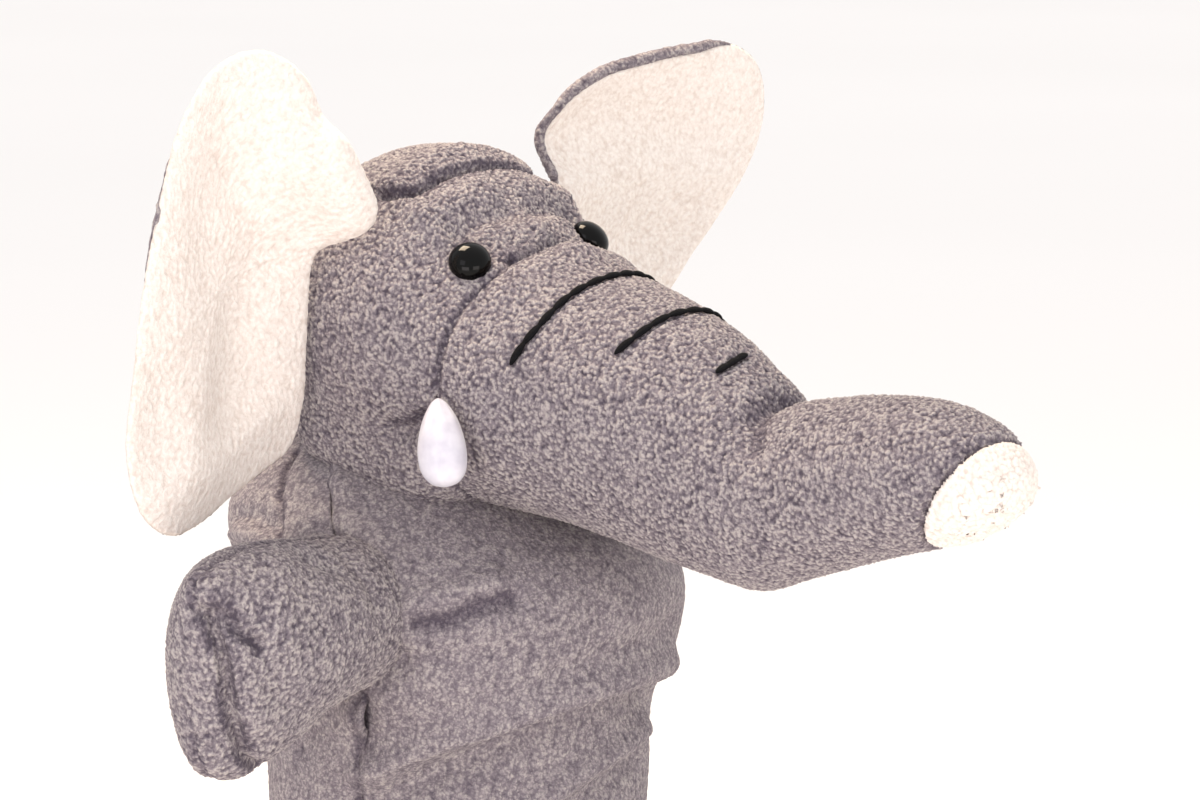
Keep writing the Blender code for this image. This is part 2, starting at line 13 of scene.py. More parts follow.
import bpy
import numpy as np
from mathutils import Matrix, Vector


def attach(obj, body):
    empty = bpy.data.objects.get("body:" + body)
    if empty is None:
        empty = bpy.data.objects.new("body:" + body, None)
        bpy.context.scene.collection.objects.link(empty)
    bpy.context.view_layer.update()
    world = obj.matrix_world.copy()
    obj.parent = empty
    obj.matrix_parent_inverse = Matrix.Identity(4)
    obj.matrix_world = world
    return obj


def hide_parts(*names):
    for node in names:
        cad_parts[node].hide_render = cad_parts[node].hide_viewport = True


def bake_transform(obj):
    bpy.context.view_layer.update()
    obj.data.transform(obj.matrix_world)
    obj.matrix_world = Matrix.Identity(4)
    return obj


logging.basicConfig(level=logging.INFO, format="%(relativeCreated)d ms %(message)s")
LOG = logging.getLogger("puppet")

MM = 0.001
NARROW = 2.7  # half width, mm, below which a crease gets the finest mesh and painted shade
PAINTED_CREASE_SHADE = 0.6  # how far seams and sharp creases are darkened in the fleece's colour: painted shade
SEWN_REACH = 3.0  # mm from a seam over which cloth is held
SEWN_SHARE = 0.4  # the nearness above which a point is held
CLOTH_FRAMES = 20
NAP_SPREAD = 4.0  # standard deviations between the darkest painted shade in a gap and the palest painted light on a tip

Marks = tuple[tuple[float, float], ...]
FoldRow = tuple[Marks, float, float]

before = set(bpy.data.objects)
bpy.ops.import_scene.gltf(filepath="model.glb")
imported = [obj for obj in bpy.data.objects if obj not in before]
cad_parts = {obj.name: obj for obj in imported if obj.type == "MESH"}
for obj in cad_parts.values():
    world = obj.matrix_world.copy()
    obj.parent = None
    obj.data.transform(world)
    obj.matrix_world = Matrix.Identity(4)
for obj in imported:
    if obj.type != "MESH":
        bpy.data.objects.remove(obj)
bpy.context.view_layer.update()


# ---------------------------------------------------------------- colours, nodes and finishes

def linear(hex_colour: str) -> tuple[float, float, float, float]:
    """The linear RGBA value of an sRGB hex colour.

    Args:
        hex_colour: six hex digits after a hash.

    Returns:
        Red, green, blue and an alpha of 1.
    """
    parts = [int(hex_colour[start:start + 2], 16) / 255 for start in (1, 3, 5)]
    return (*(part / 12.92 if part <= 0.04045 else ((part + 0.055) / 1.055) ** 2.4 for part in parts), 1.0)


def add_node(tree: bpy.types.NodeTree, kind: str, settings: dict[str, Any] | None = None,
             inputs: dict[str, Any] | None = None) -> bpy.types.Node:
    """Adds one shader node with its settings and its inputs.

    Args:
        tree: the node tree.
        kind: the node's type name.
        settings: properties of the node itself.
        inputs: a value, or another node's output, for each named input.

    Returns:
        The new node.
    """
    node = tree.nodes.new(kind)
    for name, value in (settings or {}).items():
        setattr(node, name, value)
    for name, value in (inputs or {}).items():
        socket = node.inputs[name]
        if isinstance(value, bpy.types.NodeSocket):
            tree.links.new(value, socket)
        else:
            socket.default_value = value
    return node


def new_material(name: str) -> tuple[bpy.types.Material, bpy.types.NodeTree, bpy.types.Node]:
    """A new material, its node tree and its Principled shader."""
    material = bpy.data.materials.new(name)
    material.use_nodes = True
    return material, material.node_tree, material.node_tree.nodes["Principled BSDF"]


def ramp(tree: bpy.types.NodeTree, factor: bpy.types.NodeSocket,
         stops: Sequence[tuple[float, str]]) -> bpy.types.NodeSocket:
    """A colour ramp of sRGB stops along a factor.

    Args:
        tree: the node tree.
        factor: the output that drives the ramp.
        stops: position and hex colour of each stop.

    Returns:
        The ramp's colour output.
    """
    node = add_node(tree, "ShaderNodeValToRGB", inputs={"Fac": factor})
    points = node.color_ramp.elements
    while len(points) < len(stops):
        points.new(0.5)
    for point, (position, colour) in zip(points, stops):
        point.position = position
        point.color = linear(colour)
    return node.outputs["Color"]


@dataclass(frozen=True)
class CurlyFleece:
    """Short curly-pile polyester fleece, knitted and sheared.

    The eye sees small soft curls with lit tips and dark gaps between them, no gloss, and a pale bloom of fibre
    ends at grazing angles. The colour paints that light on the tips and that shade in the gaps: painted light and
    painted shade. `curl` is the width of one curl.
    """
    name: str
    # painted shade: the colour of the hollows between curls
    shaded_gap: str
    body: str
    # painted light: the colour of the raised curl tips
    tip: str
    curl: float
    bump: float
    bloom: float

    def build(self) -> bpy.types.Material:
        """Builds the material from curl-sized cells, finer fibres and slow dye variation, with painted light and
        shade.
        """
        material, tree, shader = new_material(self.name)
        place = add_node(tree, "ShaderNodeTexCoord").outputs["Object"]
        wander = add_node(tree, "ShaderNodeTexNoise", inputs={
            "Vector": place, "Scale": 1 / (self.curl * 1.5 * MM), "Detail": 2.0, "Roughness": 0.6})
        bent = add_node(tree, "ShaderNodeVectorMath", {"operation": "MULTIPLY_ADD"}, {
            0: wander.outputs["Color"], 1: (self.curl * 2.0 * MM,) * 3, 2: place})
        curls = add_node(tree, "ShaderNodeTexVoronoi", {"feature": "F1"}, {
            "Vector": bent.outputs["Vector"], "Scale": 1 / (self.curl * MM)})
        fibres = add_node(tree, "ShaderNodeTexNoise", inputs={
            "Vector": bent.outputs["Vector"], "Scale": 1 / (self.curl * 0.5 * MM), "Detail": 3.0,
            "Roughness": 0.75})
        dye = add_node(tree, "ShaderNodeTexNoise", inputs={
            "Vector": place, "Scale": 1 / (9 * MM), "Detail": 2.0, "Roughness": 0.5})
        nap = add_node(tree, "ShaderNodeAttribute", {"attribute_name": "nap"})
        dome = add_node(tree, "ShaderNodeMath", {"operation": "MULTIPLY_ADD"}, {
            0: curls.outputs["Distance"], 1: -0.55, 2: 0.3})
        shaggy = add_node(tree, "ShaderNodeMath", {"operation": "MULTIPLY_ADD"}, {
            0: fibres.outputs["Fac"], 1: 0.7, 2: dome.outputs["Value"]})
        height = add_node(tree, "ShaderNodeMath", {"operation": "MULTIPLY_ADD"}, {
            0: nap.outputs["Fac"], 1: 0.7, 2: shaggy.outputs["Value"]})
        level = add_node(tree, "ShaderNodeMath", {"operation": "MULTIPLY_ADD"}, {
            0: dye.outputs["Fac"], 1: 0.14, 2: height.outputs["Value"]})
        spread = add_node(tree, "ShaderNodeMapRange", inputs={
            "Value": level.outputs["Value"], "From Min": 0.36, "From Max": 1.12})
        # painted shade and painted light: low curls, hollows and creases take the shaded gap colour, raised curls the
        # pale tip colour
        colour = ramp(tree, spread.outputs["Result"], ((0.0, self.shaded_gap), (0.5, self.body), (1.0, self.tip)))
        tree.links.new(colour, shader.inputs["Base Color"])
        bump = add_node(tree, "ShaderNodeBump", inputs={
            "Height": height.outputs["Value"], "Strength": self.bump, "Distance": 0.9 * MM})
        tree.links.new(bump.outputs["Normal"], shader.inputs["Normal"])
        shader.inputs["Roughness"].default_value = 0.95
        shader.inputs["Specular IOR Level"].default_value = 0.15
        shader.inputs["Sheen Weight"].default_value = self.bloom
        shader.inputs["Sheen Roughness"].default_value = 0.55
        shader.inputs["Sheen Tint"].default_value = linear("#f2e6dc")
        return material


@dataclass(frozen=True)
class Satin:
    """White polyester satin: floats of filament yarn give a soft silky streak along one direction."""
    name: str = "white polyester satin"
    face: str = "#e3e1e9"
    # painted shade of small folds in the satin, laid in slow random patches
    fold: str = "#c6c3d0"
    thread: float = 0.35

    def build(self) -> bpy.types.Material:
        """Builds the material from fine yarn lines along the tusk, drawn 20 times as coarse as the real thread, and
        slow patches of painted shade.
        """
        material, tree, shader = new_material(self.name)
        place = add_node(tree, "ShaderNodeTexCoord").outputs["Object"]
        yarn = add_node(tree, "ShaderNodeTexWave", {"bands_direction": "Z"}, {
            "Vector": place, "Scale": 1 / (self.thread * 20 * MM), "Distortion": 0.6, "Detail": 1.0})
        # slow patches of painted shade for the satin's small folds
        cloud = add_node(tree, "ShaderNodeTexNoise", inputs={"Vector": place, "Scale": 1 / (5 * MM)})
        colour = ramp(tree, cloud.outputs["Fac"], ((0.25, self.fold), (0.7, self.face)))
        tree.links.new(colour, shader.inputs["Base Color"])
        bump = add_node(tree, "ShaderNodeBump", inputs={
            "Height": yarn.outputs["Fac"], "Strength": 0.12, "Distance": 0.08 * MM})
        tree.links.new(bump.outputs["Normal"], shader.inputs["Normal"])
        shader.inputs["Roughness"].default_value = 0.34
        shader.inputs["Sheen Weight"].default_value = 0.25
        return material


@dataclass(frozen=True)
class Moulded:
    """Injection-moulded plastic: an even colour under a smooth skin with faint flow marks.

    `gloss` is the strength of the mirror-like part, low where a dark room surrounds the piece.
    """
    name: str
    colour: str
    mark: str
    roughness: float
    gloss: float

    def build(self) -> bpy.types.Material:
        """Builds the material with slow flow marks in the colour and a slightly uneven gloss."""
        material, tree, shader = new_material(self.name)
        place = add_node(tree, "ShaderNodeTexCoord").outputs["Object"]
        flow = add_node(tree, "ShaderNodeTexNoise", inputs={"Vector": place, "Scale": 1 / (4 * MM), "Detail": 1.0})
        tree.links.new(ramp(tree, flow.outputs["Fac"], ((0.3, self.mark), (0.7, self.colour))),
                       shader.inputs["Base Color"])
        bump = add_node(tree, "ShaderNodeBump", inputs={
            "Height": flow.outputs["Fac"], "Strength": 0.05, "Distance": 0.05 * MM})
        tree.links.new(bump.outputs["Normal"], shader.inputs["Normal"])
        shader.inputs["Roughness"].default_value = self.roughness
        shader.inputs["IOR"].default_value = 1.49
        shader.inputs["Specular IOR Level"].default_value = self.gloss
        return material


@dataclass(frozen=True)
class Thread:
    """Embroidery thread: six plies laid together, matt, with small lit hairs along the plies and painted shade
    between the strands.
    """
    name: str
    shaded_gap: str
    ply: str
    width: float = 0.45

    def build(self) -> bpy.types.Material:
        """Builds the material from fine strands at the ply's width."""
        material, tree, shader = new_material(self.name)
        place = add_node(tree, "ShaderNodeTexCoord").outputs["Object"]
        strands = add_node(tree, "ShaderNodeTexNoise", inputs={
            "Vector": place, "Scale": 1 / (self.width * MM), "Detail": 3.0, "Roughness": 0.7})
        # painted shade between the strands and painted light on the hairs along them
        tree.links.new(ramp(tree, strands.outputs["Fac"], ((0.35, self.shaded_gap), (0.75, self.ply))),
                       shader.inputs["Base Color"])
        bump = add_node(tree, "ShaderNodeBump", inputs={
            "Height": strands.outputs["Fac"], "Strength": 0.7, "Distance": 0.25 * MM})
        tree.links.new(bump.outputs["Normal"], shader.inputs["Normal"])
        shader.inputs["Roughness"].default_value = 0.9
        shader.inputs["Specular IOR Level"].default_value = 0.15
        return material


@dataclass(frozen=True)
class Backdrop:
    """Matt painted studio floor, almost white, with a faint unevenness."""
    name: str = "matt white studio floor"
    colour: str = "#fefbf9"

    def build(self) -> bpy.types.Material:
        """Builds the material with a broad, faint variation."""
        material, tree, shader = new_material(self.name)
        place = add_node(tree, "ShaderNodeTexCoord").outputs["Object"]
        cloud = add_node(tree, "ShaderNodeTexNoise", inputs={"Vector": place, "Scale": 0.8})
        tree.links.new(ramp(tree, cloud.outputs["Fac"], ((0.2, "#fbf8f6"), (0.8, self.colour))),
                       shader.inputs["Base Color"])
        shader.inputs["Roughness"].default_value = 0.9
        return material


class Slot(Enum):
    """The record's material slots that show."""
    GREY = "grey_fleece"
    CREAM = "cream_fleece"
    SATIN = "white_satin"
    THREAD = "black_thread"
    EYE = "eye_plastic"
    WASHER = "washer_plastic"


FINISHES = {
    # each fleece: painted shade in the gaps, its own grey or cream, and painted light on the tips
    Slot.GREY: CurlyFleece("grey curly polyester fleece", "#5b535f", "#8c838a", "#c6bdbb", 1.0, 0.9, 0.1),
    Slot.CREAM: CurlyFleece("cream polyester fleece", "#e3d6cc", "#f0e6de", "#faf3ec", 1.1, 0.5, 0.08),
    Slot.SATIN: Satin(),
    Slot.THREAD: Thread("black cotton embroidery thread", "#050506", "#1b1a1e"),
    Slot.EYE: Moulded("polished black moulded acrylic", "#020202", "#040303", 0.06, 0.18),
    Slot.WASHER: Moulded("natural moulded polypropylene", "#dedcd6", "#cfcdc6", 0.45, 0.5),
}


# ---------------------------------------------------------------- lofts: soft forms as runs of sections

def smooth_rows(table: np.ndarray, at: np.ndarray) -> np.ndarray:
    """Catmull-Rom values of a table of rows at fractional row numbers.

    Args:
        table: one section per row.
        at: the row numbers wanted.

    Returns:
        One interpolated section for each number, in the last axis.
    """
    last = len(table) - 1
    low = np.clip(np.floor(at).astype(int), 0, last - 1)
    part = (at - low)[..., None]
    p0, p1, p2, p3 = (table[np.clip(low + step, 0, last)] for step in (-1, 0, 1, 2))
    return 0.5 * (2 * p1 + (p2 - p0) * part + (2 * p0 - 5 * p1 + 4 * p2 - p3) * part ** 2
                  + (3 * p1 - p0 - 3 * p2 + p3) * part ** 3)


class Loft:
    """A run of cross sections, each a row of numbers that `place` turns into a ring of points."""

    def __init__(self, sections: Sequence[Sequence[float]]) -> None:
        """Keeps the sections and measures how far along the form each row lies."""
        self.table = np.array(sections, dtype=float)
        rows = np.linspace(0, len(sections) - 1, 400)
        steps = np.linalg.norm(np.diff(self.at(rows, np.full(400, 90.0)), axis=0), axis=1)
        steps += np.linalg.norm(np.diff(self.at(rows, np.full(400, 270.0)), axis=0), axis=1)
        self.rows = rows
        self.share = np.concatenate(([0.0], np.cumsum(steps))) / steps.sum()

    def place(self, values: np.ndarray, turn: np.ndarray) -> np.ndarray:
        """Points in millimetres (outward, forward, up) for section values and angles in radians."""
        raise NotImplementedError

    def at(self, row: np.ndarray, angle: np.ndarray) -> np.ndarray:
        """Points on the form in metres, for row numbers and angles in degrees."""
        row = np.asarray(row, dtype=float)
        points = self.place(smooth_rows(self.table, row), np.radians(np.asarray(angle, dtype=float)))
        return points * np.array((MM, -MM, MM))

    def spot(self, row: float, angle: float) -> np.ndarray:
        """One point on the form, in metres."""
        return self.at(np.array([row]), np.array([angle]))[0]

    def middle(self, row: float) -> np.ndarray:
        """The middle of the section at a row, in metres."""
        return (self.spot(row, 0) + self.spot(row, 180)) / 2

    def normal(self, row: float, angle: float) -> np.ndarray:
        """The outward unit normal at one point."""
        along = self.spot(row + 0.05, angle) - self.spot(row - 0.05, angle)
        around = self.spot(row, angle + 1) - self.spot(row, angle - 1)
        out = np.cross(around, along)
        out /= np.linalg.norm(out)
        return out if out @ (self.spot(row, angle) - self.middle(row)) > 0 else -out

    def line(self, marks: Sequence[tuple[float, float]], steps: int = 8) -> np.ndarray:
        """A smooth line over the form through (row, angle) marks.

        Args:
            marks: where the line passes.
            steps: points between one mark and the next.

        Returns:
            The line's points in metres.
        """
        at = np.linspace(0, len(marks) - 1, steps * (len(marks) - 1) + 1)
        values = smooth_rows(np.array(marks, dtype=float), at)
        return self.at(values[:, 0], values[:, 1])


class HeadLoft(Loft):
    """Sections of (top f, top z, bottom f, bottom z, half width) from the back of the head to the trunk's tip."""

    def place(self, values: np.ndarray, turn: np.ndarray) -> np.ndarray:
        """An ellipse between the section's top and bottom points: 0 degrees is the left side, 90 the top."""
        top_f, top_z, low_f, low_z, half = np.moveaxis(values, -1, 0)
        lift = 0.5 + 0.5 * np.sin(turn)
        return np.stack((half * np.cos(turn), low_f + (top_f - low_f) * lift, low_z + (top_z - low_z) * lift), -1)


class BodyLoft(Loft):
    """Sections of (z, forward shift, half width, half depth) from the hem up."""

    def place(self, values: np.ndarray, turn: np.ndarray) -> np.ndarray:
        """A level ellipse: 0 degrees is the left side, 90 the front."""
        up, shift, wide, deep = np.moveaxis(values, -1, 0)
        return np.stack((wide * np.cos(turn), shift + deep * np.sin(turn), up + 0 * turn), -1)

    def row_of(self, height: float) -> float:
        """The row number at a height, mm."""
        rows = np.linspace(0, len(self.table) - 1, 2000)
        return float(rows[np.argmin(np.abs(smooth_rows(self.table, rows)[:, 0] - height))])

    def marks(self, heights: Sequence[tuple[float, float]]) -> list[tuple[float, float]]:
        """Marks given as (height, angle), turned into (row, angle)."""
        return [(self.row_of(height), angle) for height, angle in heights]


class MittLoft(Loft):
    """Sections of (outward, forward, z, half height, half depth) along an arm, on one side."""

    def __init__(self, sections: Sequence[Sequence[float]], side: int) -> None:
        """Keeps the side: 1 is the puppet's left and -1 its right."""
        self.side = side
        super().__init__(sections)

    def place(self, values: np.ndarray, turn: np.ndarray) -> np.ndarray:
        """An upright ellipse across the arm's run: 0 degrees is the top, 90 the front."""
        out, forward, up, high, deep = np.moveaxis(values, -1, 0)
        first, last = self.table[0], self.table[-1]
        run = (last - first)[:2] / np.linalg.norm((last - first)[:2])
        across = deep * np.sin(turn)
        return np.stack((self.side * (out - across * run[1]), forward + across * run[0],
                         up + high * np.cos(turn)), -1)


# ---------------------------------------------------------------- mesh work that every soft piece shares

def deselect() -> None:
    """Deselects everything, so that an operator acts on its own object only."""
    for other in bpy.context.selected_objects:
        other.select_set(False)


def activate(piece: bpy.types.Object) -> None:
    """Makes a piece the only selected one and the active one."""
    deselect()
    piece.select_set(True)
    bpy.context.view_layer.objects.active = piece


def coords(piece: bpy.types.Object) -> np.ndarray:
    """The piece's points, one row each."""
    flat = np.empty(len(piece.data.vertices) * 3)
    piece.data.vertices.foreach_get("co", flat)
    return flat.reshape(-1, 3)


def normals(piece: bpy.types.Object) -> np.ndarray:
    """The piece's smooth normals, one row each."""
    piece.data.update()
    flat = np.empty(len(piece.data.vertices) * 3, dtype=np.float32)
    piece.data.vertex_normals.foreach_get("vector", flat)
    return flat.reshape(-1, 3).astype(float)


def set_coords(piece: bpy.types.Object, points: np.ndarray) -> None:
    """Moves the piece's points."""
    piece.data.vertices.foreach_set("co", np.ascontiguousarray(points).ravel())
    piece.data.update()


def apply_modifier(piece: bpy.types.Object, kind: str, **settings: Any) -> None:
    """Adds a modifier with its settings and applies it."""
    activate(piece)
    modifier = piece.modifiers.new(kind.lower(), kind)
    for name, value in settings.items():
        setattr(modifier, name, value)
    bpy.ops.object.modifier_apply(modifier=modifier.name)


def subdivide(piece: bpy.types.Object, levels: int) -> None:
    """Rounds the piece with a subdivision surface."""
    apply_modifier(piece, "SUBSURF", levels=levels, render_levels=levels)


def twin(piece: bpy.types.Object, name: str) -> bpy.types.Object:
    """A copy of a piece under a new name, with a mesh of its own."""
    copy = piece.copy()
    copy.data = piece.data.copy()
    copy.name = name
    bpy.context.scene.collection.objects.link(copy)
    return copy


def turn_outwards(piece: bpy.types.Object) -> None:
    """Makes the piece's faces point out."""
    activate(piece)
    bpy.ops.object.mode_set(mode="EDIT")
    bpy.ops.mesh.select_all(action="SELECT")
    bpy.ops.mesh.remove_doubles(threshold=1e-5)
    bpy.ops.mesh.normals_make_consistent(inside=False)
    bpy.ops.object.mode_set(mode="OBJECT")


def ball(name: str, segments: int, rings: int) -> bpy.types.Object:
    """A unit ball to be shaped, selected and active."""
    deselect()
    bpy.ops.mesh.primitive_uv_sphere_add(segments=segments, ring_count=rings, radius=1.0, location=(0, 0, 0))
    piece = bpy.context.object
    piece.name = name
    return piece


def wrapped_ball(name: str, loft: Loft, segments: int, rings: int) -> bpy.types.Object:
    """A ball drawn over a loft, so that its poles close the loft's two ends.

    Args:
        name: the piece's name.
        loft: the form.
        segments: points round the form.
        rings: points along it.

    Returns:
        The closed piece.
    """
    piece = ball(name, segments, rings)
    points = coords(piece)
    share = np.arccos(np.clip(points[:, 2], -1, 1)) / math.pi
    angle = np.degrees(np.arctan2(points[:, 1], points[:, 0]))
    set_coords(piece, loft.at(np.interp(share, loft.share, loft.rows), angle))
    turn_outwards(piece)
    return piece


def nearness(points: np.ndarray, line: np.ndarray, width: float, power: float = 2.0) -> np.ndarray:
    """How near each point is to a line: 1 on it, falling to nothing over the width.

    Args:
        points: the points, one row each.
        line: the line's points, in the same unit.
        width: the half width of the bell.
        power: 2 for a bell, more for a flat top with a steep edge.

    Returns:
        A share from 0 to 1 for each point.
    """
    result = np.zeros(len(points))
    reach = 3 * width
    inside = np.all((points > line.min(0) - reach) & (points < line.max(0) + reach), axis=1)
    chosen = points[inside]
    best = np.full(len(chosen), np.inf)
    for start, end in zip(line[:-1], line[1:]):
        run = end - start
        share = np.clip((chosen - start) @ run / max(run @ run, 1e-12), 0, 1)
        best = np.minimum(best, np.linalg.norm(chosen - start - share[:, None] * run, axis=1))
    result[inside] = np.exp(-(best / width) ** power)
    return result


@dataclass(frozen=True)
class Fold:
    """A seam, crease or ridge along a line: how far it stands out (or in, below 0) and its half width, mm."""
    line: np.ndarray
    height: float
    width: float

    def narrow(self) -> bool:
        """True for a seam or a sharp crease, which needs the finest mesh and gets painted shade in the fleece's
        colour.
        """
        return self.height < 0 and self.width < NARROW


def folds_on(loft: Loft, rows: Sequence[FoldRow]) -> list[Fold]:
    """Folds over a loft from rows of (row, angle) marks, a height and a width."""
    return [Fold(loft.line(marks), height, width) for marks, height, width in rows]


def mirrored(marks: Marks) -> Marks:
    """The same (row, angle) marks on the other side of the head."""
    return tuple((row, 180 - angle) for row, angle in marks)


def snapped(piece: bpy.types.Object, line: np.ndarray) -> np.ndarray:
    """The line's points moved to the nearest places on a piece."""
    return np.array([piece.closest_point_on_mesh(Vector(point))[1] for point in line])


def shape_folds(piece: bpy.types.Object, folds: Sequence[Fold]) -> None:
    """Works folds into a piece along its normals, with each line first laid on its surface."""
    points = coords(piece)
    out = normals(piece)
    move = np.zeros(len(points))
    for fold in folds:
        move += nearness(points, snapped(piece, fold.line), fold.width * MM) * fold.height * MM
    set_coords(piece, points + out * move[:, None])


def puff(piece: bpy.types.Object, seams: Sequence[np.ndarray], cap: float, pressure: float = 4.0) -> None:
    """Runs a sewn piece as cloth under pressure, held along its seams, and applies the result.

    The result is read once, after the last frame.

    Args:
        piece: the closed piece.
        seams: lines along which the cloth is sewn down.
        cap: the most that a point may move, mm.
        pressure: the pressure of the filling.
    """
    before = coords(piece)
    sewn = piece.vertex_groups.new(name="sewn")
    held = np.zeros(len(before))
    for seam in seams:
        held = np.maximum(held, nearness(before, seam, SEWN_REACH * MM))
    for number in np.nonzero(held > SEWN_SHARE)[0]:
        sewn.add([int(number)], 1.0, "REPLACE")
    activate(piece)
    cloth = piece.modifiers.new("filling", "CLOTH")
    cloth.settings.use_pressure = True
    cloth.settings.uniform_pressure_force = pressure
    cloth.settings.vertex_group_mass = "sewn"
    cloth.settings.mass = 0.3
    cloth.settings.tension_stiffness = 12
    cloth.settings.compression_stiffness = 12
    cloth.settings.bending_stiffness = 0.4
    cloth.settings.effector_weights.gravity = 0
    for number in range(1, CLOTH_FRAMES + 1):
        bpy.context.scene.frame_set(number)
    shown = piece.evaluated_get(bpy.context.evaluated_depsgraph_get())
    after = coords(shown)
    piece.modifiers.remove(cloth)
    bpy.context.scene.frame_set(1)
    piece.vertex_groups.remove(sewn)
    move = np.nan_to_num(after - before)
    length = np.linalg.norm(move, axis=1, keepdims=True)
    set_coords(piece, before + move * np.minimum(1, cap * MM / np.maximum(length, 1e-9)))
    LOG.info("  %s as cloth, largest move %.3f mm", piece.name, min(length.max() / MM, cap))


def raise_nap(piece: bpy.types.Object, curl: float, height: float, folds: Sequence[Fold] = (),
              contrast: float = 1.0) -> None:
    """Raises the fleece's curls in the mesh and keeps their height as the attribute `nap`, which the fleece's
    colour turns into painted shade in the hollows and painted light on the raised curls.

    Args:
        piece: the piece, with points about half a curl apart.
        curl: the width of a curl, mm.
        height: how far a curl stands out, mm.
        folds: seams and creases, along which the attribute is lowered as painted shade.
        contrast: how much of the curls' height is kept in the attribute, and so how strong its painted light and
            shade are.
    """
    before = coords(piece)
    # painted shade along seams and sharp creases, taken off the attribute below
    crease_shade = np.zeros(len(before))
    for fold in folds:
        if fold.narrow():
            near = nearness(before, snapped(piece, fold.line), 0.9 * fold.width * MM)
            crease_shade = np.maximum(crease_shade, near * min(1.0, -fold.height / 1.5))
    out = normals(piece)
    for kind, size, strength in (("VORONOI", curl, -1.2), ("CLOUDS", 0.9 * curl, 0.8)):
        texture = bpy.data.textures.new(f"{piece.name} {kind.lower()}", kind)
        texture.noise_scale = size * MM
        apply_modifier(piece, "DISPLACE", texture=texture, texture_coords="LOCAL", mid_level=0.5,
                       strength=strength * height * MM)
    # the curls' height, less the painted crease shade, kept for the colour as painted light and shade
    rise = ((coords(piece) - before) * out).sum(1) / (height * MM)
    rise = np.clip(0.5 + contrast * (rise - rise.mean()) / (NAP_SPREAD * rise.std()) - PAINTED_CREASE_SHADE * crease_shade, -0.3, 1)
    attribute = piece.data.attributes.new("nap", "FLOAT", "POINT")
    attribute.data.foreach_set("value", rise.astype(np.float32))


def dress(piece: bpy.types.Object, slot: Slot, materials: dict[Slot, bpy.types.Material]) -> None:
    """Gives a piece its finish and smooth shading."""
    piece.data.materials.clear()
    piece.data.materials.append(materials[slot])
    activate(piece)
    bpy.ops.object.shade_smooth()


def dress_node(name: str, slot: Slot, materials: dict[Slot, bpy.types.Material]) -> None:
    """Gives a CAD node that is still shown its finish."""
    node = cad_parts[name]
    node.data.materials.clear()
    node.data.materials.append(materials[slot])


def report(piece: bpy.types.Object) -> None:
    """Logs a finished piece and its number of faces."""
    LOG.info("%s: %d faces", piece.name, len(piece.data.polygons))


# ---------------------------------------------------------------- the head and the trunk

HEAD = HeadLoft((
    (-48.6, 216.0, -48.6, 214.0, 1.0),
    (-47.0, 227.0, -47.0, 203.0, 14.0),
    (-43.0, 241.0, -43.0, 189.0, 29.0),
    (-35.0, 253.0, -35.0, 177.5, 40.0),
    (-21.0, 262.0, -21.0, 169.5, 48.5),
    (-4.0, 265.0, -4.0, 166.0, 52.0),
    (14.0, 259.0, 12.0, 165.0, 50.0),
    (32.0, 243.0, 26.0, 164.0, 45.0),
    (50.0, 236.5, 40.0, 163.0, 40.0),
    (66.0, 232.5, 53.0, 162.0, 36.0),
    (84.0, 227.5, 70.0, 159.5, 32.0),
    (101.0, 220.5, 88.0, 156.0, 28.5),
    (114.0, 211.0, 104.0, 154.0, 26.0),
    (122.0, 204.5, 115.5, 154.0, 24.5),
    (131.0, 206.0, 126.0, 155.5, 23.5),
    (150.0, 209.5, 147.0, 163.0, 21.5),
    (170.0, 211.0, 164.0, 169.0, 20.5),
    (186.0, 208.0, 176.0, 172.5, 18.5),
    (196.0, 202.0, 184.0, 175.5, 15.0),
    (201.0, 195.0, 191.0, 179.5, 9.0),
    (201.0, 188.6, 200.2, 186.6, 1.2),
))
STITCHES = (
    ((8.58, 158), (8.64, 148), (8.73, 136), (8.76, 120), (8.82, 104), (8.84, 90), (8.76, 74), (8.62, 52), (8.5, 30)),
    ((10.08, 137), (10.19, 122), (10.23, 108), (10.29, 90), (10.25, 70), (10.1, 46)),
    ((11.57, 114), (11.59, 104), (11.56, 94), (11.52, 88)),
)


CHEEK_SEAM = ((7.36, 112), (7.44, 122), (7.34, 138), (7.31, 150), (7.32, 166), (7.36, 182), (7.3, 205),
              (7.2, 235), (7.2, 262))
CROWN_SEAM = ((1.2, 110), (3.0, 120), (4.4, 124), (5.4, 127), (5.74, 121), (5.82, 109), (5.86, 90))
BRIDGE_SEAM = ((7.36, 112), (7.4, 100), (7.38, 90), (7.4, 80), (7.36, 68))
HEAD_SEAMS = (CHEEK_SEAM, CROWN_SEAM, mirrored(CHEEK_SEAM), mirrored(CROWN_SEAM), BRIDGE_SEAM)
FACE_FOLDS = (
    (((5.35, 128), (5.74, 121), (5.82, 109), (5.88, 92)), -2.4, 2.0),
    (((6.15, 124), (6.25, 112), (6.3, 98)), 1.6, 4.5),
    (((5.3, 120), (5.35, 106), (5.4, 92)), 1.4, 4.0),
    (((6.62, 120), (6.66, 108), (6.7, 96)), -1.4, 3.0),
    (((5.8, 127), (6.1, 127), (6.5, 127)), 1.2, 2.6),
    (((6.85, 108), (6.95, 98), (7.0, 92)), 1.6, 4.5),
    (((7.75, 128), (7.85, 108), (7.85, 90)), 2.0, 6.0),
    (((6.35, 207), (6.7, 203), (7.1, 196)), -2.6, 5.0),
    (((6.5, 206), (6.8, 202), (7.15, 194)), -2.4, 2.6),
    (((4.4, 222), (5.3, 229), (6.2, 233)), 7.5, 12.0),
    (((8.0, 175), (8.1, 190), (8.1, 210)), 1.2, 9.0),
    (((13.0, 60), (13.1, 90), (13.3, 118), (13.8, 140)), -1.0, 2.6),
    (((13.0, 90), (13.2, 120), (13.9, 150), (14.4, 172)), -0.9, 4.5),
    (((12.2, 100), (12.3, 130), (12.6, 160)), 0.8, 6.0),
    (((13.2, 280), (13.3, 250), (13.5, 225)), 0.8, 9.0),
)


